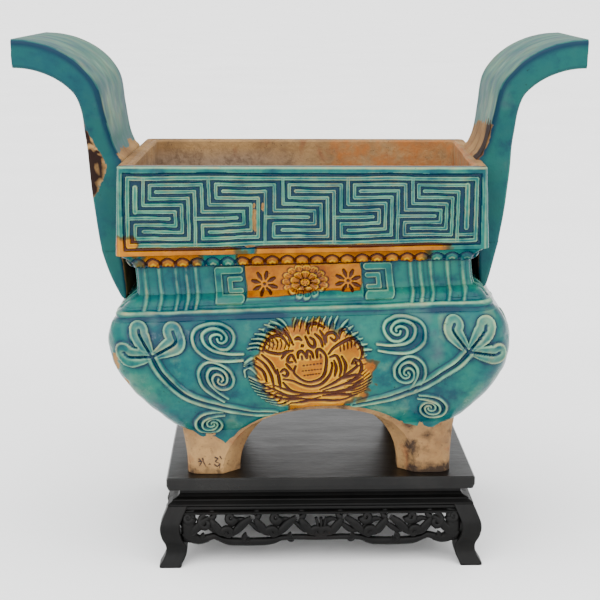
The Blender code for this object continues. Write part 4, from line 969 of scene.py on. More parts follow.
def blossom(relief, centre):
    """A raised flower worked out round its middle: two rings of ribbed petals, each ring domed across every
    petal by one less the cube of the distance from its middle line, and cut between petals, round a
    dotted button."""
    stretch = 1.30
    away = np.hypot((relief.d - centre[0]) / stretch, relief.h - centre[1])
    angle = np.arctan2(relief.h - centre[1], (relief.d - centre[0]) / stretch)
    for count, inner, outer, rise, turn in ((15, 6.5, 13.4, 2.4, 0.1), (9, 2.6, 8.8, 3.4, 0.4)):
        share = (angle / (2.0 * math.pi) + turn / count) * count
        edge = 2.0 * np.abs(share - np.floor(share) - 0.5)
        tip = outer * (1.0 - 0.16 * edge ** 3)
        cover = smooth_step((tip - away) / 0.7) * (away > inner - 1.5)
        outward = 0.72 + 0.28 * smooth_step((away - inner) / (outer - inner))
        dome = rise * (1.0 - 0.45 * edge ** 3) * outward
        relief.up = np.where(cover > 0.02, np.maximum(relief.up, dome * cover), relief.up)
        rib = 0.5 + 0.5 * np.cos(edge * 2.6 * math.pi)
        line = np.clip(smooth_step((edge - 0.80) / 0.15) + 0.55 * (1.0 - rib) * (edge < 0.8), 0.0, 1.0)
        line = line * cover * smooth_step((tip - 0.8 - away) / 0.8)
        tip_line = np.clip(1.0 - np.abs(away - tip + 0.5) / 0.7, 0.0, 1.0)
        outline = np.clip(1.0 - np.abs(away - tip - 0.5) / 0.6, 0.0, 1.0)
        here = (away > inner - 1.0) & (away < outer + 1.2)
        hollow = np.maximum(0.9 * np.maximum(line, outline), relief.hollow * (away > tip))
        relief.hollow = np.where(here, hollow, relief.hollow)
        relief.cut = np.where(here, 0.75 * line, relief.cut)
        relief.crest = np.where(here, tip_line, relief.crest)
    button = smooth_step((3.4 - away) / 1.2)
    ring = np.clip(1.0 - np.abs(away - 3.2) / 0.5, 0.0, 1.0)
    relief.up = np.maximum(relief.up, 4.0 * button)
    relief.hollow = relief.hollow * (1.0 - button) + 0.9 * ring
    relief.cut = relief.cut * (1.0 - button)
    for turn in math.pi * np.arange(6) / 3.0:
        relief.dot(np.array(centre) + 1.7 * np.array((math.cos(turn), math.sin(turn))), 1.2, 0.8)


def neck_panel(relief):
    """The raised amber panel in its double frame, with a blossom between two small pressed flowers."""
    for sign in (-1.0, 1.0):
        for out, high, low, end, wide in ((64.5, 164.6, 142.4, 48.0, 6.4), (56.0, 157.8, 149.0, 48.0, 4.6)):
            line = [(sign * end, high), (sign * out, high), (sign * out, low), (sign * end, low)]
            relief.stroke(line, wide, 1.4, BAND)
    inside = np.minimum(smooth_step((44.5 - np.abs(relief.d)) / 1.2), smooth_step((relief.h - 141.0) / 1.2))
    inside = np.minimum(inside, smooth_step((NECK_HIGH - 0.4 - relief.h) / 1.0))
    relief.up = np.maximum(relief.up, 1.3 * inside)
    for sign, x, middle in ((-1.0, -30.0, 153.2), (1.0, 33.0, 153.8)):
        for index in range(8):
            angle = 0.25 * math.pi * index + 0.3 * sign
            heading = np.array((math.cos(angle), math.sin(angle)))
            line = [(x, middle) + 3.6 * heading, (x, middle) + 9.0 * heading]
            relief.stroke(line, 4.4, 1.6, NOTCH, (0.5, 1.0, 0.7), sink=True)
        relief.dot((x, middle), 3.2, 1.1)
    blossom(relief, (0.8, 153.8))


def neck_amber(d, h):
    """Amber mask of a wide side: the panel, thinner at its lower right, and the trim above it in parts."""
    plaque = np.minimum((45.5 - np.abs(d)) / 4.0, (h - 141.6) / 3.0)
    fade = np.clip((152.0 - h) / 9.0, 0.0, 1.0) * np.clip((d + 20.0) / 30.0, 0.0, 1.0)
    amber = np.clip(plaque - 0.75 * fade + 0.2 * ripple(d, h, 8.0, 67.0), 0.0, 1.0)
    amber = amber * (h < NECK_HIGH + 0.3)
    trim = np.clip((h - NECK_HIGH + 0.1) / 0.6, 0.0, 1.0)
    return np.maximum(amber, trim * np.interp(d, TRIM_STOPS, TRIM_AMBER))


def neck(side, rows, flat_columns, corner_columns):
    """Neck from the seam to under the rim: ribs, the amber panel on a wide side, and a row of scallops in
    the cove. A soft swelling, a bell curve in height, runs round above the seam."""
    d, h = sheet(side, level(SEAM_H), RIM_LOW - 0.02, rows, flat_columns, corner_columns)
    relief = Relief(*wander(d, h, 0.3))
    ribs(relief, side, SEAM_H - 1.2, NECK_HIGH - 0.8)
    if side in WIDE_SIDES:
        neck_panel(relief)
    step = 11.2
    half = (NECK_X if side in WIDE_SIDES else NECK_Y) + 6.0
    for index in range(-int(half / step) - 1, int(half / step) + 2):
        x = index * step
        arch = [(x - 5.5, 169.2), (x - 4.4, 172.6), (x, 174.9), (x + 4.4, 172.6), (x + 5.5, 169.2)]
        relief.stroke(curve(arch, 5), 2.6, 1.2, NOTCH, sink=True)
        relief.stroke([(x - 1.6, 170.2), (x, 171.2), (x + 1.6, 170.2)], 4.0, 0.6, CORD)
    height = relief.height() + 0.12 * ripple(d, h, 8.0, 13.0) + 1.2 * np.exp(-((h - 146.0) / 5.0) ** 2)
    amber = neck_amber(d, h) if side in WIDE_SIDES else np.zeros(d.shape)
    tone = tone_of(relief, height, cell_size(d, h), amber, np.zeros(d.shape))
    # Painted shadow: a dark line just under the cove's step
    tone[..., 1] = np.clip(tone[..., 1] + 0.9 * np.exp(-((h - NECK_HIGH + 0.2) / 0.9) ** 2), 0.0, 1.0)
    slab(f"censer_neck_{side}", side, d, h, height, tone)


# Rim band

# Where the fret's columns stand, in millimetres from the rim's middle: drawn one by one, so not quite even
FRET_COLUMNS = (0, 2, 10, 12, 20, 22, 30, 32, 40, 42, 50, 52)
FRET_STOPS = (-129.4, -117.3, -79.4, -68.9, -26.9, -13.9, 24.1, 34.4, 71.3, 81.8, 115.8, 129.0)
FRET_UNITS, FRET_ROWS = 5, 10.0

# The hooked fret beside a handle, as shares of its width and of the field's height
HOOK = ((0.20, 0.10), (0.20, 0.90), (0.80, 0.90), (0.80, 0.30), (0.42, 0.30), (0.42, 0.68), (0.62, 0.68))

# Amber along the rim's lower edge: shares of it at distances along the side, judged
RIM_STOPS = (-142, -100, -60, -44, -36, -30, 92, 118, 142)
RIM_AMBER = (1.0, 0.95, 0.8, 0.42, 0.5, 0.95, 0.9, 0.2, 0.1)

# Chips on the rim's front, as for the belly, and how bare the lip is on each side
RIM_CHIPS = ((-35.4, 203.0, 1.9, 14.0), (-29.0, 212.5, 1.5, 3.6), (-38.0, 183.5, 6.0, 1.2))
LIP_BARE = {"front": 0.27, "back": 0.62, "left": 0.9, "right": 0.9}


def fret_paths(units):
    """Lines of the key fret on a grid: columns run right, rows run down, ten of each to a unit. A snake
    winds through all units, and each unit adds two bars and a hooked key."""
    paths = []
    snake = [(1, 1.3)]
    for unit in range(units):
        start = 10 * unit
        paths.append([(start + 10, 10), (start + 10, 2), (start + 4, 2)])
        paths.append([(start, 6), (start + 6, 6)])
        paths.append([(start + c, r) for c, r in ((2, 0), (2, 4), (8, 4), (8, 8), (2, 8))])
        turns = ((1, 5), (7, 5), (7, 7), (1, 7), (1, 9), (9, 9), (9, 3), (3, 3), (3, 1), (11, 1))
        snake += [(start + c, r) for c, r in turns]
    end = 10 * units
    snake.append((end + 1, 8))
    return paths + [snake, [(end, 9), (end + 2, 9)]]


def rim(side, rows, flat_columns, corner_columns):
    """Rim band: a sunk field in a raised frame, with the key fret on a wide side and hooked frets beside the
    handle on a short one. Its upper and lower edges are rounded as quarter circles."""
    d, h = sheet(side, level(RIM_LOW + 0.02), RIM_HIGH, rows, flat_columns, corner_columns)
    relief = Relief(*wander(d, h, 0.55, 26.0))
    reach = RIM_X - RIM_TAPER if side in WIDE_SIDES else RIM_Y
    field_x, field_low, field_high = reach - 3.6, RIM_LOW + 3.7, RIM_HIGH - 4.6
    inside = np.minimum(relief.h - field_low, field_high - relief.h)
    inside = np.minimum(inside, field_x - np.abs(relief.d))
    right, bottom, top = field_x - 4.2, field_low + 4.3, field_high - 4.3
    tall = top - bottom
    frame_line = [(-right, bottom), (right, bottom), (right, top), (-right, top), (-right, bottom)]
    relief.stroke(frame_line, 3.6, 1.9, FLAT)
    if side in WIDE_SIDES:
        for path in fret_paths(FRET_UNITS):
            line = [(np.interp(column, FRET_COLUMNS, FRET_STOPS), top - tall * row / FRET_ROWS)
                    for column, row in path]
            relief.stroke(line, 3.0, 1.7, FLAT)
        for column, high_row, low_row in ((1, 1.4, 5.0), (51, 1.0, 7.8)):
            x = np.interp(column, FRET_COLUMNS, FRET_STOPS)
            line = [(x, top - tall * row / FRET_ROWS) for row in (high_row, low_row)]
            relief.stroke(line, 4.4, 1.7, FLAT)
    else:
        free = right - HANDLE_HALF
        for sign in (-1.0, 1.0):
            line = [(sign * (right - free * across), bottom + tall * up) for across, up in HOOK]
            relief.stroke(line, 4.0, 1.7, FLAT)
    # The sunk field darkened, more towards its top
    field_darkening = 0.56 + 0.34 * (h - field_low) / (field_high - field_low) + 0.20 * ripple(d, h, 11.0, 65.0)
    field_darkening = field_darkening * smooth_step((1.0 - relief.up) / 0.7) * (inside > 0.2)
    relief.hollow = np.maximum(relief.hollow, field_darkening)
    height = relief.up - 2.0 * smooth_step(inside / 1.1) + 0.16 * ripple(d, h, 9.0, 15.0)
    round_top = np.clip((h - RIM_HIGH + 2.0) / 2.0, 0.0, 1.0)
    round_low = np.clip((RIM_LOW + 1.6 - h) / 1.6, 0.0, 1.0)
    height = height - 1.4 * (1.0 - np.sqrt(1.0 - round_top ** 2))
    height = height - 1.2 * (1.0 - np.sqrt(1.0 - round_low ** 2))
    amber = np.zeros(d.shape)
    if side in WIDE_SIDES:
        band = np.clip((RIM_LOW + 8.2 - h) / 3.0, 0.0, 1.0)
        corner = np.clip((-d - 118.0) / 8.0, 0.0, 1.0) * np.clip((196.0 - h) / 10.0, 0.0, 1.0)
        amber = np.maximum(band * np.interp(d, RIM_STOPS, RIM_AMBER), corner)
    bare = np.zeros(d.shape)
    if side == "front":
        bare = chips(d, h, RIM_CHIPS, edge=1.25, ragged=0.25, grain=1.8, seed=21.0)
        height = height - 0.8 * smooth_step(bare)
    cell = ((RIM_HIGH - RIM_LOW) / (rows - 1), float(np.mean(np.diff(d, axis=1))))
    tone = tone_of(relief, height, cell, amber, bare)
    lip = np.clip((h - RIM_HIGH + 1.2) / 0.8, 0.0, 1.0)
    # Pale over the rounded lip: glaze broken on the edge, and a painted highlight
    pale_lip = 0.8 * np.clip((h - RIM_HIGH + 2.4) / 1.2, 0.0, 1.0)
    arris = 0.55 * np.clip(1.0 - np.abs(np.abs(d) - reach + 0.6) / 1.3, 0.0, 1.0)
    tone[..., 0] = np.maximum(0.78 * tone[..., 0], np.maximum(pale_lip, arris))
    tone[..., 3] = np.maximum(tone[..., 3], LIP_BARE[side] * lip)
    slab(f"censer_rim_{side}", side, d, h, height, tone)


# Fired clay body under the glaze, hollow and open, with the arches cut through

def ring_walk(h, inset, flat_steps, corner_steps):
    """Points round the burner at heights h, set in from its outside, as (rows, points, 3): four times a
    flat side and a quarter round."""
    half_x, half_y, corner = (value[:, None] for value in half_sizes(h))
    half_x, half_y = half_x - inset[:, None], half_y - inset[:, None]
    corner = np.maximum(corner - inset[:, None], 6.0)
    bend = 0.5 * math.pi * np.arange(1, corner_steps) / corner_steps
    loops = []
    for quarter, (wide, deep) in enumerate(((half_x, half_y), (half_y, half_x)) * 2):
        flat = wide - corner
        x = flat * np.linspace(-1.0, 1.0, flat_steps)[None, :]
        y = -deep + 0.0 * x
        x = np.concatenate([x, flat + corner * np.sin(bend)], axis=1)
        y = np.concatenate([y, corner - deep - corner * np.cos(bend)], axis=1)
        for _ in range(quarter):
            x, y = -y, x
        loops.append(np.stack([x, y, h[:, None] + 0.0 * x], axis=-1))
    return np.concatenate(loops, axis=1)


def plain_object(name, points, quads, tris):
    """A bare object in the scene, to cut or to cut with."""
    mesh = bpy.data.meshes.new(name)
    mesh.from_pydata(points.tolist(), [], quads.tolist() + tris.tolist())
    thing = bpy.data.objects.new(name, mesh)
    bpy.context.scene.collection.objects.link(thing)
    return thing


def arch_cutter(half_width, splay, foot_half, along_y):
    """An arched prism through the body, splayed wider at both mouths. The arch's outline is the cosine and
    the sine of half a turn, each to the power of two over ARCH_POWER, times half width and height."""
    past_body, below = 210.0, -12.0
    angle = np.linspace(0.0, math.pi, 49)
    round_across = np.sign(np.cos(angle)) * np.abs(np.cos(angle)) ** (2.0 / ARCH_POWER)
    round_up = np.abs(np.sin(angle)) ** (2.0 / ARCH_POWER)
    stations = ((-past_body, 1.0), (-foot_half, 1.0), (SPLAY_DEPTH - foot_half, 0.0),
                (foot_half - SPLAY_DEPTH, 0.0), (foot_half, 1.0), (past_body, 1.0))
    rings = []
    for end, wide in stations:
        half = half_width + splay * wide
        across = np.concatenate([[half], half * round_across, [-half]])
        up = np.concatenate([[below], (ARCH_H + SPLAY_TOP * wide) * round_up, [below]])
        level_end = np.full(across.shape, end)
        x, y = (across, level_end) if along_y else (level_end, across)
        rings.append(np.stack([x, y, up], axis=-1))
    rings = np.array(rings)
    return closed_tube(rings[:, ::-1] if along_y else rings)


def hollow_clay():
    """The unwarped clay: rings up the outside, over the lip and down to the floor, with both arches cut
    through. It keeps inside the glaze's slabs, and ripples make its inner wall uneven."""
    foot = np.linspace(0.0, FOOT_H, 12)
    above_foot = even_heights(FOOT_H, NECK_LOW, np.linspace(0.0, 1.0, 36))[1:]
    above_neck = [NECK_HIGH, NECK_HIGH + 0.2, RIM_LOW - 0.2, RIM_LOW + 0.2, 200.0, 220.0,
                  RIM_HIGH - 1.2, RIM_HIGH - 0.3]
    outside = np.concatenate([foot, above_foot, above_neck])
    inset_h = (0.0, 38.0, 46.0, NECK_HIGH, RIM_LOW - 0.1, RIM_LOW + 0.2, RIM_HIGH)
    inset = np.interp(outside, inset_h, (0.0, 0.25, 1.4, 1.6, 2.4, 4.6, 4.6))
    inside = np.array([RIM_HIGH - 0.3, RIM_HIGH - 1.6, 236.0, 225.0, 214.0, 203.0, 192.0, 183.0, RIM_LOW,
                       170.0, NECK_HIGH, 158.0, NECK_LOW, 143.0, 138.0, 132.0, 124.0, 116.0, 108.0, 100.0,
                       92.0, 84.0, 77.0, 72.0, FLOOR])
    wall = np.array([WALL - 1.6, WALL - 0.4] + [WALL] * 20 + [1.15 * WALL, 1.5 * WALL, 2.3 * WALL])
    outer = ring_walk(outside, inset, 60, 8)
    inner = ring_walk(inside, wall, 60, 8)
    uneven = 0.7 * ripple(inner[..., 0] + inner[..., 1], inner[..., 2], 21.0, 2.0)
    outward = inner[..., :2] / np.maximum(np.hypot(inner[..., 0], inner[..., 1]), 1.0)[..., None]
    inner[..., :2] += outward * uneven[..., None]
    body = plain_object("censer_clay", *closed_tube(np.concatenate([outer, inner])))
    cutters = [plain_object("arch", *arch_cutter(ARCH_X, SPLAY_X, FOOT_Y, True)),
               plain_object("arch", *arch_cutter(ARCH_Y, SPLAY_Y, FOOT_X, False))]
    for cutter in cutters:
        cut = body.modifiers.new("Arch", "BOOLEAN")
        cut.operation = "DIFFERENCE"
        cut.solver = "EXACT"
        cut.object = cutter
    graph = bpy.context.evaluated_depsgraph_get()
    mesh = bpy.data.meshes.new_from_object(body.evaluated_get(graph))
    for thing in cutters + [body]:
        bpy.data.objects.remove(thing)
    return mesh


def clay_body():
    """The fired clay, warped like its glaze, with masks: smoke on the feet, more of it to the right,
    painted shade under the arches and inside the passages between the feet, and inside the burner orange
    to the right and grey to the left."""
    mesh = hollow_clay()
    spots = np.zeros(len(mesh.vertices) * 3, np.float32)
    mesh.vertices.foreach_get("co", spots)
    spots = spots.reshape(-1, 3).astype(float)
    mesh.vertices.foreach_set("co", settle(spots).astype(np.float32).ravel())
    x, y, h = spots.T
    feet_smoke = 0.28 * np.clip((10.0 - h) / 10.0, 0.0, 1.0) + np.where(x > 0.0, 0.18, 0.0)
    # Painted shade under the arches
    under_arch = (h > 44.0) & (h < 60.0) & (np.abs(y) < 100.0) & (np.abs(x) < 140.0)
    low_down = smooth_step((50.0 - h) / 8.0)
    smoke_and_shade = np.where(h < 44.0, feet_smoke, 0.0) + np.where(under_arch, 0.42, 0.0)
    smoke_and_shade = smoke_and_shade + 0.26 * low_down * ripple(x, h, 9.0, 71.0)
    foot_toe = 0.30 * np.exp(-((x - 92.0) / 18.0) ** 2) * smooth_step((12.0 - h) / 10.0)
    smoke_and_shade = smoke_and_shade + low_down * (0.45 * np.exp(-((x - 70.0) / 6.0) ** 2) + foot_toe)
    # Painted shade inside the passages between the feet
    tunnel_shade = np.clip((60.0 - np.abs(y)) / 30.0, 0.0, 1.0) * (h < 62.0)
    smoke_and_shade = np.clip(smoke_and_shade + 0.35 * tunnel_shade, 0.0, 1.0)
    within = (h > FLOOR - 0.5) & (np.abs(x) < 130.0) & (np.abs(y) < 92.0)
    orange = np.where(within, np.clip((x + 20.0) / 90.0, 0.1, 0.6), 0.12)
    grey = np.where(within & (h < 236.0), np.clip((30.0 - x) / 90.0, 0.2, 0.9), 0.0)
    tones = np.stack([smoke_and_shade, orange, grey, np.ones(len(x))], axis=-1)
    finish_piece("censer_clay_body", mesh, tones, 32.0, ("censer",), BARE)


# Strap handles

# The left handle's scar: how far it reaches from the outer face, as a share of the depth, by height
SCAR_HEIGHTS = (210.0, 232.0, 252.0, 272.0)
SCAR_REACH = (0.30, 0.62, 0.42, 0.20)


def handle_lines():
    """Outer and inner edge lines of the strap from its free lower end to its tip, as rows of (outer, inner)
    points (x, h). Above the rim both lean out: h by a power of a quarter turn's sine, x by a power of one
    less its cosine."""
    low_end = SEAT_H - HANDLE_DROP
    free = NECK_X + HANDLE_GAP
    face = RIM_X + HANDLE_THICK
    buried = RIM_X - 0.5 * WALL
    top = RIM_HIGH
    outer_x, outer_h = face + 3.0, top + 36.0
    inner_x, inner_h = RIM_X + 7.0, top + 34.0
    tip_x, tip_h = RIM_X + HANDLE_REACH, top + HANDLE_RISE
    stations = [
        ((free + 3.5, low_end), (free + 1.8, low_end)),
        ((free + HANDLE_END, low_end + 3.0), (free + 0.2, low_end + 4.5)),
        ((free + HANDLE_END + 4.5, low_end + 15.0), (free, low_end + 15.0)),
        ((face - 8.0, SEAT_H - 1.5), (free, SEAT_H - 1.5)),
        ((face - 7.4, SEAT_H + 2.0), (buried, SEAT_H + 2.0)),
        ((face - 3.0, SEAT_H + 0.45 * (top - SEAT_H)), (buried, top - 35.0)),
        ((face, top - 4.0), (buried, top - 4.0)),
        ((face + 0.8, top + 9.0), (RIM_X - 1.0, top + 4.0)),
        ((face + 1.8, top + 22.0), (RIM_X + 3.0, top + 14.0)),
        ((outer_x, outer_h), (inner_x, inner_h)),
    ]
    for share in (0.20, 0.38, 0.55, 0.72, 0.87, 1.0):
        rise = math.sin(0.5 * math.pi * share)
        turn = 1.0 - math.cos(0.5 * math.pi * share)
        outer = (outer_x + (tip_x - outer_x) * turn ** 0.85,
                 outer_h + (tip_h - TIP_THICK - outer_h) * rise ** 0.85)
        inner = (inner_x + (tip_x - inner_x) * turn ** 0.95, inner_h + (tip_h - inner_h) * rise ** 0.84)
        stations.append((outer, inner))
    return np.array(stations)


def handle_rings(sign):
    """Rings up a strap with rounded edges, as (rows, points, 3), for the right side with sign 1 and for the
    left with -1. Gives also each point's depth, 0 on the outer face and 1 on the inner, and the outer
    face's half width, which flares by smooth_step above the rim."""
    lines = handle_lines()
    fine = curve(lines.reshape(len(lines), 4), 9)
    outer, inner = fine[:, :2], fine[:, 2:]
    thick = np.hypot(*(outer - inner).T)
    radius = np.minimum(3.0, 0.42 * thick)
    half_outer = HANDLE_HALF + HANDLE_FLARE * smooth_step((outer[:, 1] - RIM_HIGH) / HANDLE_RISE) ** 0.8
    half_inner = HANDLE_HALF + HANDLE_FLARE * smooth_step((inner[:, 1] - RIM_HIGH) / HANDLE_RISE) ** 0.8
    face_steps, edge_steps, round_steps = 64, 12, 5
    bend = 0.5 * math.pi * np.arange(1, round_steps) / round_steps
    across, depth = [], []
    for quarter in range(4):
        on_face = quarter % 2 == 0
        steps = np.linspace(-1.0, 1.0, face_steps if on_face else edge_steps)
        half_a, half_b = (half_outer, 0.5 * thick) if on_face else (0.5 * thick, half_outer)
        flat = (half_a - radius)[:, None]
        a = np.concatenate([flat * steps[None, :], flat + radius[:, None] * np.sin(bend)], axis=1)
        b = np.repeat(-half_b[:, None], len(steps), axis=1)
        b = np.concatenate([b, (radius - half_b)[:, None] - radius[:, None] * np.cos(bend)], axis=1)
        for _ in range(quarter):
            a, b = -b, a
        across.append(a)
        depth.append(b)
    across = np.concatenate(across, axis=1)
    depth = np.concatenate(depth, axis=1) / thick[:, None] + 0.5
    x = outer[:, :1] + (inner[:, :1] - outer[:, :1]) * depth
    h = outer[:, 1:] + (inner[:, 1:] - outer[:, 1:]) * depth
    y = across * (1.0 + (half_inner / half_outer - 1.0)[:, None] * depth)
    dent = 0.32 * ripple(y, h, 21.0, 3.0 + sign) + 0.07 * ripple(y, h, 9.0, 5.0)
    x = x + np.where(depth < 0.5, 1.0, -1.0) * dent * smooth_step((h - RIM_LOW + 40.0) / 10.0)
    rings = np.stack([sign * x, y, h], axis=-1)
    if sign > 0.0:
        rings, depth = rings[:, ::-1], depth[:, ::-1]
    return rings, depth, half_outer


def handle(name, sign):
    """A strap handle: pale streaks, partly a painted highlight, painted shade and a bare foot on its inner
    face, glaze pooled toward the inner corner and painted shade on its side edges, and on the left one a
    bare scar that runs down the front edge."""
    rings, depth, half_outer = handle_rings(sign)
    points, quads, tris = closed_tube(rings)
    y, h = rings[..., 1], rings[..., 2]
    inner_face = np.clip((depth - 0.85) / 0.15, 0.0, 1.0)
    streak = 0.24 * ripple(y, h, 14.0, 41.0) + 0.16 * ripple(h, y, 6.0, 43.0)
    high = smooth_step((h - RIM_HIGH - 8.0) / 26.0)
    # Pale streaks on the inner face, stronger higher up: partly glaze, partly a painted highlight
    pale = np.clip(inner_face * high * np.clip(0.30 + streak, 0.0, 1.0), 0.0, 1.0)
    # Side edges: painted shade all over them, and glaze pooled toward the inner corner
    side_edge = (np.abs(y) > 0.93 * half_outer[:, None]) & (depth > 0.05) & (depth < 0.97)
    edge_pool_and_shade = 0.75 * np.clip((depth - 0.70) / 0.22, 0.0, 1.0) * (0.55 + 0.45 * high) + 0.36
    deep = np.where(side_edge, edge_pool_and_shade, 0.0) + np.where(depth < 0.1, 0.12, 0.0)
    # Painted shade on the inner face, less where its streaks are pale
    deep = deep + 0.24 * inner_face * (1.0 - 0.8 * np.clip(streak, 0.0, 1.0))
    foot_ripple = ripple(y, h, 7.0, 45.0)
    if sign > 0.0:
        foot_h = RIM_HIGH + 30.0 - 0.10 * (y + 54.0) + 5.0 * foot_ripple
        bare = inner_face * smooth_step((foot_h - h) / 3.0)
        rusty = np.clip(0.2 + 0.9 * (1.0 - np.abs(y + 46.0) / 16.0), 0.0, 1.0)
        rusty = bare * (rusty + 0.35 * ripple(y, 0.3 * h, 4.0, 47.0))
    else:
        bare = inner_face * smooth_step((RIM_HIGH + 7.0 + 4.0 * foot_ripple - h) / 3.0)
        scar = 1.0 - np.hypot((h - 243.0) / 30.0, depth / np.interp(h, SCAR_HEIGHTS, SCAR_REACH))
        scar = np.clip(4.0 * (scar + 0.10 * ripple(y, h, 3.5, 49.0)), 0.0, 1.0) * (y < 0.0)
        bare = np.maximum(bare, scar)
        grain = 0.5 * ripple(depth * 20.0, h, 5.0, 51.0) + 0.7 * ripple(depth * 20.0, h, 2.2, 53.0)
        rusty = scar * np.clip(0.95 - 1.5 * depth + grain, 0.0, 1.0)
    tones = np.stack([pale, np.clip(deep, 0.0, 1.0), -rusty, bare], axis=-1).reshape(-1, 4)
    tones = np.concatenate([tones, tones[:1], tones[-1:]])
    make_piece(name, settle(points, 0.0), quads, tris, tones, **STRAP_LOOK)


# The burner's pieces: rows up, columns along the flat, columns round each corner

belly("front", 181, 421, 30)
belly("back", 93, 229, 16)
neck("front", 81, 501, 14)
neck("back", 61, 301, 10)
rim("front", 121, 489, 8)
rim("back", 89, 309, 6)
for hand in ("left", "right"):
    belly(hand, 101, 161, 0)
    neck(hand, 61, 181, 0)
    rim(hand, 85, 197, 0)
clay_body()
handle("censer_handle_left", -1.0)
handle("censer_handle_right", 1.0)


# Wooden stand

def squared_round(count, power):
    """Cosine and sine at count steps of a turn, each to a power with its sign kept: round at 1, squarer
    below it."""
    angle = 2.0 * math.pi * np.arange(count) / count
    cosine, sine = np.cos(angle), np.sin(angle)
    return np.sign(cosine) * np.abs(cosine) ** power, np.sign(sine) * np.abs(sine) ** power


def tube(line, facing, half_width, half_depth, sides=10):
    """Rings of a strap along a 3-D line: a squarish oval section, half_depth deep along facing and
    half_width wide across the line."""
    line = np.asarray(line, float)
    along = np.gradient(line, axis=0)
    along /= np.linalg.norm(along, axis=1)[:, None]
    out = np.broadcast_to(np.asarray(facing, float), line.shape)
    wide = np.cross(out, along)
    wide /= np.linalg.norm(wide, axis=1)[:, None]
    a, b = squared_round(sides, 0.75)
    half_width = np.broadcast_to(half_width, len(line))[:, None, None]
    half_depth = np.broadcast_to(half_depth, len(line))[:, None, None]
    across = wide[:, None] * a[None, :, None] * half_width
    return line[:, None] + across + out[:, None] * b[None, :, None] * half_depth


# The legs' curve: shares of their height, and how far out the front stands there in millimetres
LEG_SHARES = (0.0, 0.03, 0.10, 0.22, 0.34, 0.46, 0.60, 0.72, 0.88, 1.0)
LEG_OUTS = (TOE_OUT, TOE_OUT, 0.6 * TOE_OUT, ANKLE_OUT, ANKLE_OUT, 0.75 * KNEE_OUT, KNEE_OUT,
            0.95 * KNEE_OUT, 0.45 * KNEE_OUT, 0.0)


def leg_line(h):
    """Outward offset of the legs' curved front at heights h, and of the aprons between them."""
    return np.interp(np.asarray(h) / LEG_TOP, LEG_SHARES, LEG_OUTS)


def curl(start, heading, size, turns, sides=1.0, steps=26):
    """A C-scroll: a line that winds in from start to an eye, turning left for sides 1 and right for -1. Its
    radius shrinks to a fifth by a power of the share of its turns."""
    share = np.linspace(0.0, 1.0, steps)
    radius = size * (1.0 - 0.80 * share ** 0.85)
    angle = sides * 2.0 * math.pi * turns * share
    side = heading + sides * 0.5 * math.pi
    middle = np.array(start) + size * np.array((math.cos(side), math.sin(side)))
    phase = side + math.pi + angle
    return middle + radius[:, None] * np.stack([np.cos(phase), np.sin(phase)], axis=-1)


# Lower edge of an apron from its left end to its middle: share of the half length, and height in
# millimetres, counted from a line just above the skirt's drop
LONG_EDGE = ((-1.035, 9.0), (-1.0, 4.5), (-0.93, 2.4), (-0.87, 3.4), (-0.81, 5.2), (-0.77, 3.0),
             (-0.70, 0.2), (-0.60, -0.6), (-0.44, -0.5), (-0.36, 0.6), (-0.30, 3.2), (-0.18, 3.8),
             (0.0, 3.4))
SHORT_EDGE = ((-1.04, 9.0), (-1.0, 4.5), (-0.90, 2.6), (-0.82, 4.6), (-0.76, 2.6), (-0.62, 0.0),
              (-0.36, 0.0), (-0.26, 3.0), (0.0, 3.4))

# Half width of that edge's strap in millimetres, by share of the half length
SKIRT_SHARES = (0.0, 0.30, 0.40, 0.70, 0.77, 0.88, 1.0)
SKIRT_WIDTHS = (2.2, 2.2, 3.2, 3.2, 2.2, 3.0, 3.6)

# Units of the leafy scroll: share of the half length, and 1 where it climbs outward or -1 where it falls
LONG_UNITS = ((0.10, 1), (0.27, -1), (0.44, 1), (0.61, -1), (0.78, 1), (0.93, -1))
SHORT_UNITS = ((0.14, 1), (0.40, -1), (0.66, 1), (0.90, -1))


def leafy_unit(x, sign, climbs, base, crown):
    """Stem, roll and small leaf of one unit at x, going outward with sign between base and crown."""
    if climbs:
        stem = [(x - sign * 8.0, base + 1.0), (x - sign * 2.0, base + 3.0), (x + sign * 2.5, base + 8.0),
                (x + sign * 6.0, crown - 1.0)]
        roll = curl((x - sign * 3.0, base + 2.0), 0.5 * math.pi, 4.6, 1.15, sign)
        heading = 0.5 * math.pi * (1.0 + sign) + 0.3 * sign
        leaflet = curl((x + sign * 6.5, crown - 0.5), heading, 3.4, 0.8, -sign)
    else:
        stem = [(x - sign * 8.5, crown), (x - sign * 2.5, crown - 4.0), (x + sign * 2.5, base + 4.5),
                (x + sign * 8.0, base)]
        roll = curl((x + sign * 3.5, crown + 0.2), -0.5 * math.pi, 4.2, 1.1, sign)
        leaflet = curl((x - sign * 5.0, base - 0.5), 0.5 * math.pi * (1.0 - sign), 3.0, 0.8, -sign)
    return curve(stem, 5), roll, leaflet


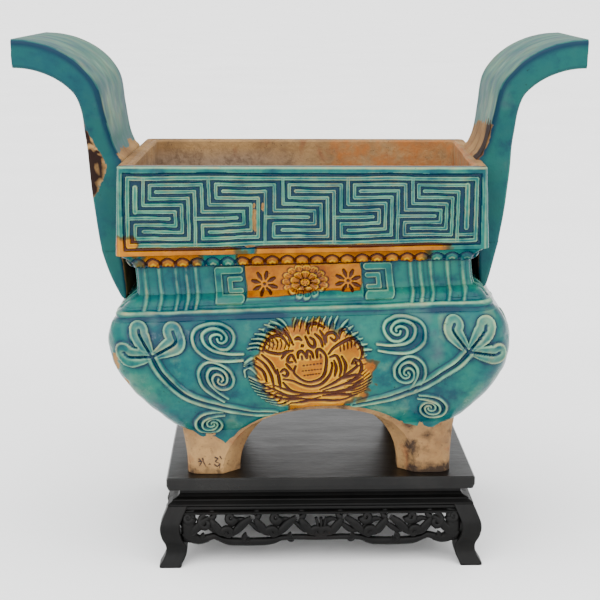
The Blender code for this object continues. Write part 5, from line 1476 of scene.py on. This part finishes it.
def apron(side):
    """Pierced apron: a rolled top rail, a lobed lower strap, brackets at both ends, a waving vine and leafy
    scrolls that cross between rail and strap."""
    long_side = side in WIDE_SIDES
    foot = WAIST_FOOT_X if long_side else WAIST_FOOT_Y
    depth = (WAIST_FOOT_Y if long_side else WAIST_FOOT_X) - 2.0
    half = foot - LEG_THICK - 0.6
    top, low = LEG_TOP, LEG_TOP - SKIRT_DROP
    base, crown = low + 8.0, top - 9.5
    parts = []

    def add(path, wide, deep, sink):
        x, h = np.asarray(path, float).T
        out = -(depth - sink + leg_line(np.clip(h, 4.0, LEG_TOP)))
        across, away = turn_to(side, x, out)
        line = np.stack([across + STAND_MIDDLE[0], away + STAND_MIDDLE[1], h], axis=-1)
        facing = (*turn_to(side, 0.0, -1.0), 0.0)
        parts.append(closed_tube(tube(line, facing, wide, deep)[:, ::-1]))

    lower = [(x * half, low + h + 1.6) for x, h in (LONG_EDGE if long_side else SHORT_EDGE)]
    lower = curve(lower + [(-x, h) for x, h in lower[-2::-1]], 5)
    add(lower, np.interp(np.abs(lower[:, 0]) / half, SKIRT_SHARES, SKIRT_WIDTHS), 2.7, 3.2)
    x = np.linspace(-half + 12.0, half - 12.0, 97)
    vine = np.stack([x, 0.5 * (top + low) + 4.6 * np.sin(x / 5.6)], axis=-1)
    add(vine, 1.9 + 0.7 * np.sin(x / 2.8), 2.0, 3.8)
    x = np.linspace(-half - 3.5, half + 3.5, 41)
    for h, wide, sink in ((top - 2.4, 2.2, 3.0), (top - 5.6, 1.3, 2.0)):
        add(np.stack([x, 0.0 * x + h], axis=-1), wide, 2.6, sink)
    for sign in (-1.0, 1.0):
        bracket = curve([(half + 1.5, top - 4.0), (half + 0.5, top - 14.0), (half + 0.5, low + 9.0),
                         (half + 1.5, low + 2.0)], 6)
        add(bracket * (sign, 1.0), np.linspace(6.5, 5.0, len(bracket)), 2.8, 3.2)
        knee = curve([(half + 2.0, top - 10.0), (half - 1.5, low + 9.0), (half - 4.0, low + 5.0),
                      (half - 9.0, low + 3.4), (half - 15.0, low + 4.4)], 5)
        knee_wide = np.interp(np.arange(len(knee)), (0, 10, 14, 20), (4.6, 4.6, 3.8, 2.4))
        add(knee * (sign, 1.0), knee_wide, 2.7, 3.0)
        roll = curl((sign * (half - 13.0), top - 7.0), 0.5 * math.pi * (1.0 - sign), 6.2, 0.95, -sign)
        add(roll, 2.2, 2.5, 2.4)
    for sign in (-1.0, 1.0):
        for share, way in LONG_UNITS if long_side else SHORT_UNITS:
            stem, roll, leaflet = leafy_unit(sign * share * half, sign, way > 0, base, crown)
            add(stem, 1.6 + 1.9 * np.sin(np.linspace(0.25, math.pi - 0.3, len(stem))), 2.3, 2.6)
            add(roll, np.linspace(2.9, 1.6, len(roll)), 2.5, 2.2)
            add(leaflet, np.linspace(2.7, 1.5, len(leaflet)), 2.2, 2.8)
    for x in (-2.6, 0.0, 2.6):
        add(curve([(0.0, base), (0.7 * x, base + 5.0), (1.5 * x, crown)], 5), 1.2, 2.2, 2.0)
    points, quads, tris = merged(parts)
    make_piece(f"stand_apron_scrolls_{side}", points * MILLIMETRE, quads, tris,
               replaces=(f"stand_apron_{side}",), slot="trim_wood", material=TRIM_WOOD)


def ink_mark():
    """A few faded brush strokes, not letters, on the left front foot, thinner toward their ends."""
    strokes = (
        ((-94.0, 13.5), (-92.0, 10.0), (-93.5, 6.5)),
        ((-91.0, 14.0), (-90.0, 9.5), (-88.5, 6.0)),
        ((-94.5, 10.5), (-90.5, 10.8)),
        ((-86.0, 8.2), (-84.6, 8.0)),
        ((-81.5, 14.5), (-79.0, 13.0), (-81.0, 10.5), (-78.5, 9.0)),
        ((-82.0, 8.0), (-79.5, 6.0), (-77.5, 8.5), (-78.0, 4.5)),
        ((-77.5, 15.5), (-76.0, 12.5)),
    )
    parts = []
    for path in strokes:
        line = curve(path, 5)
        d, h = line.T
        spine = settle(place("front", d, h, np.full(d.shape, 0.05))) / MILLIMETRE
        half_width = 0.55 * np.linspace(1.2, 0.6, len(line))
        parts.append(closed_tube(tube(spine, (0.0, -1.0, 0.0), half_width, 0.22, 8)[:, ::-1]))
    points, quads, tris = merged(parts)
    make_piece("censer_ink_strokes", points * MILLIMETRE, quads, tris, slot="glazed_clay", material=INK)


def leg(depth, hand):
    """One bracket leg: round knee, narrow ankle, toe turned out, its line eased by a running average and
    its section a square with softened edges all the way up."""
    h = np.concatenate([[0.0, 0.5, 1.2], np.linspace(2.2, LEG_TOP - 0.4, 34), [LEG_TOP]])
    out = np.convolve(np.pad(leg_line(h), 2, mode="edge"), (0.1, 0.2, 0.4, 0.2, 0.1), mode="valid")
    out = out - np.where(h < 1.0, 0.6 * (1.0 - h), 0.0)
    thick = LEG_THICK + np.interp(h, (0.0, 14.0, 20.0), (1.5, 0.9, 0.0))
    sign_x, sign_y = (-1.0 if hand == "left" else 1.0), (-1.0 if depth == "front" else 1.0)
    a, b = squared_round(40, 0.17)
    half = 0.5 * thick[:, None]
    x = sign_x * (WAIST_FOOT_X + out[:, None] - half + half * a) + STAND_MIDDLE[0]
    y = sign_y * (WAIST_FOOT_Y + out[:, None] - half + half * b) + STAND_MIDDLE[1]
    rings = np.stack([x, y, np.broadcast_to(h[:, None], x.shape)], axis=-1)
    if sign_x * sign_y < 0.0:
        rings = rings[:, ::-1]
    points, quads, tris = closed_tube(rings)
    make_piece(f"stand_leg_{depth}_{hand}_carved", points * MILLIMETRE, quads, tris,
               replaces=(f"stand_leg_{depth}_{hand}",), slot="leg_wood", material=LEG_WOOD)


for side in ("front", "back", "left", "right"):
    apron(side)
for depth in ("front", "back"):
    for hand in ("left", "right"):
        leg(depth, hand)
ink_mark()
for name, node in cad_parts.items():
    if name.startswith(("stand_board", "stand_waist")):
        node.data.materials.clear()
        node.data.materials.append(BOARD_WOOD if name == "stand_board" else TRIM_WOOD)


# Floor, light and camera

def studio():
    """A sheet of pale paper under a white sky, a wide soft window light from the front left above, and two
    weak square lights that glint in the glaze."""
    floor_half = 40.0
    corners = [(-floor_half, -floor_half, 0.0), (floor_half, -floor_half, 0.0),
               (floor_half, floor_half, 0.0), (-floor_half, floor_half, 0.0)]
    floor = bpy.data.objects.new("floor", bpy.data.meshes.new("floor"))
    floor.data.from_pydata(corners, [], [(0, 1, 2, 3)])
    bpy.context.scene.collection.objects.link(floor)
    paper = Nodes("pale_paper")
    shade = paper.span(paper.noise(3.0), 0.3, 0.7)
    white = paper.mix(shade, (0.86, 0.86, 0.86, 1.0), (0.90, 0.90, 0.90, 1.0))
    floor.data.materials.append(paper.finish(white, 0.9))
    world = bpy.data.worlds.new("studio")
    bpy.context.scene.world = world
    world.use_nodes = True
    sky = world.node_tree.nodes["Background"]
    sky.inputs["Color"].default_value = (1.0, 1.0, 1.0, 1.0)
    sky.inputs["Strength"].default_value = 1.75
    sun = bpy.data.lights.new("window", "SUN")
    sun.energy = 4.6
    sun.angle = math.radians(104.0)
    window = bpy.data.objects.new("window", sun)
    window.rotation_euler = (math.radians(38.0), 0.0, math.radians(-22.0))
    bpy.context.scene.collection.objects.link(window)
    boxes = (
        ("front_box", (-0.7, -1.7, 1.1), (0.0, 0.0, 0.22), 0.5, 7.0),
        ("side_box", (1.4, -1.0, 0.8), (0.0, 0.0, 0.2), 0.5, 9.0),
    )
    for name, spot, target, size, power in boxes:
        light = bpy.data.lights.new(name, "AREA")
        light.shape = "SQUARE"
        light.size = size
        light.energy = power
        lamp = bpy.data.objects.new(name, light)
        lamp.location = spot
        lamp.rotation_euler = (Vector(target) - Vector(spot)).to_track_quat("-Z", "Y").to_euler()
        bpy.context.scene.collection.objects.link(lamp)


# The photo's view, in its pixels: its width, focal length, horizon above the middle and aim to the side
PHOTO_WIDE, FOCAL, HORIZON_UP, AIM_ASIDE = 600.0, 1500.0, 322.0, 38.0

# The camera's place in millimetres: left of and before the burner's middle, and above the floor
CAMERA_LEFT, CAMERA_BEFORE, CAMERA_H = 42.8, 1197.6, 449.5


def photo_camera():
    """The photo's own view: a long lens a little above the handles' tips, looking down by the angle whose
    tangent is the horizon's height over the focal length, about 12 degrees."""
    lens = bpy.data.cameras.new("view")
    lens.sensor_width = 36.0
    lens.lens = lens.sensor_width * FOCAL / PHOTO_WIDE
    camera = bpy.data.objects.new("view", lens)
    pitch = math.atan(HORIZON_UP / FOCAL)
    yaw = math.atan(AIM_ASIDE / FOCAL * math.cos(pitch))
    spot = (SHIFT[0] - CAMERA_LEFT, SHIFT[1] - CAMERA_BEFORE, CAMERA_H)
    camera.location = [value * MILLIMETRE for value in spot]
    camera.rotation_euler = (0.5 * math.pi - pitch, 0.0, -yaw)
    bpy.context.scene.collection.objects.link(camera)
    bpy.context.scene.camera = camera


studio()
photo_camera()
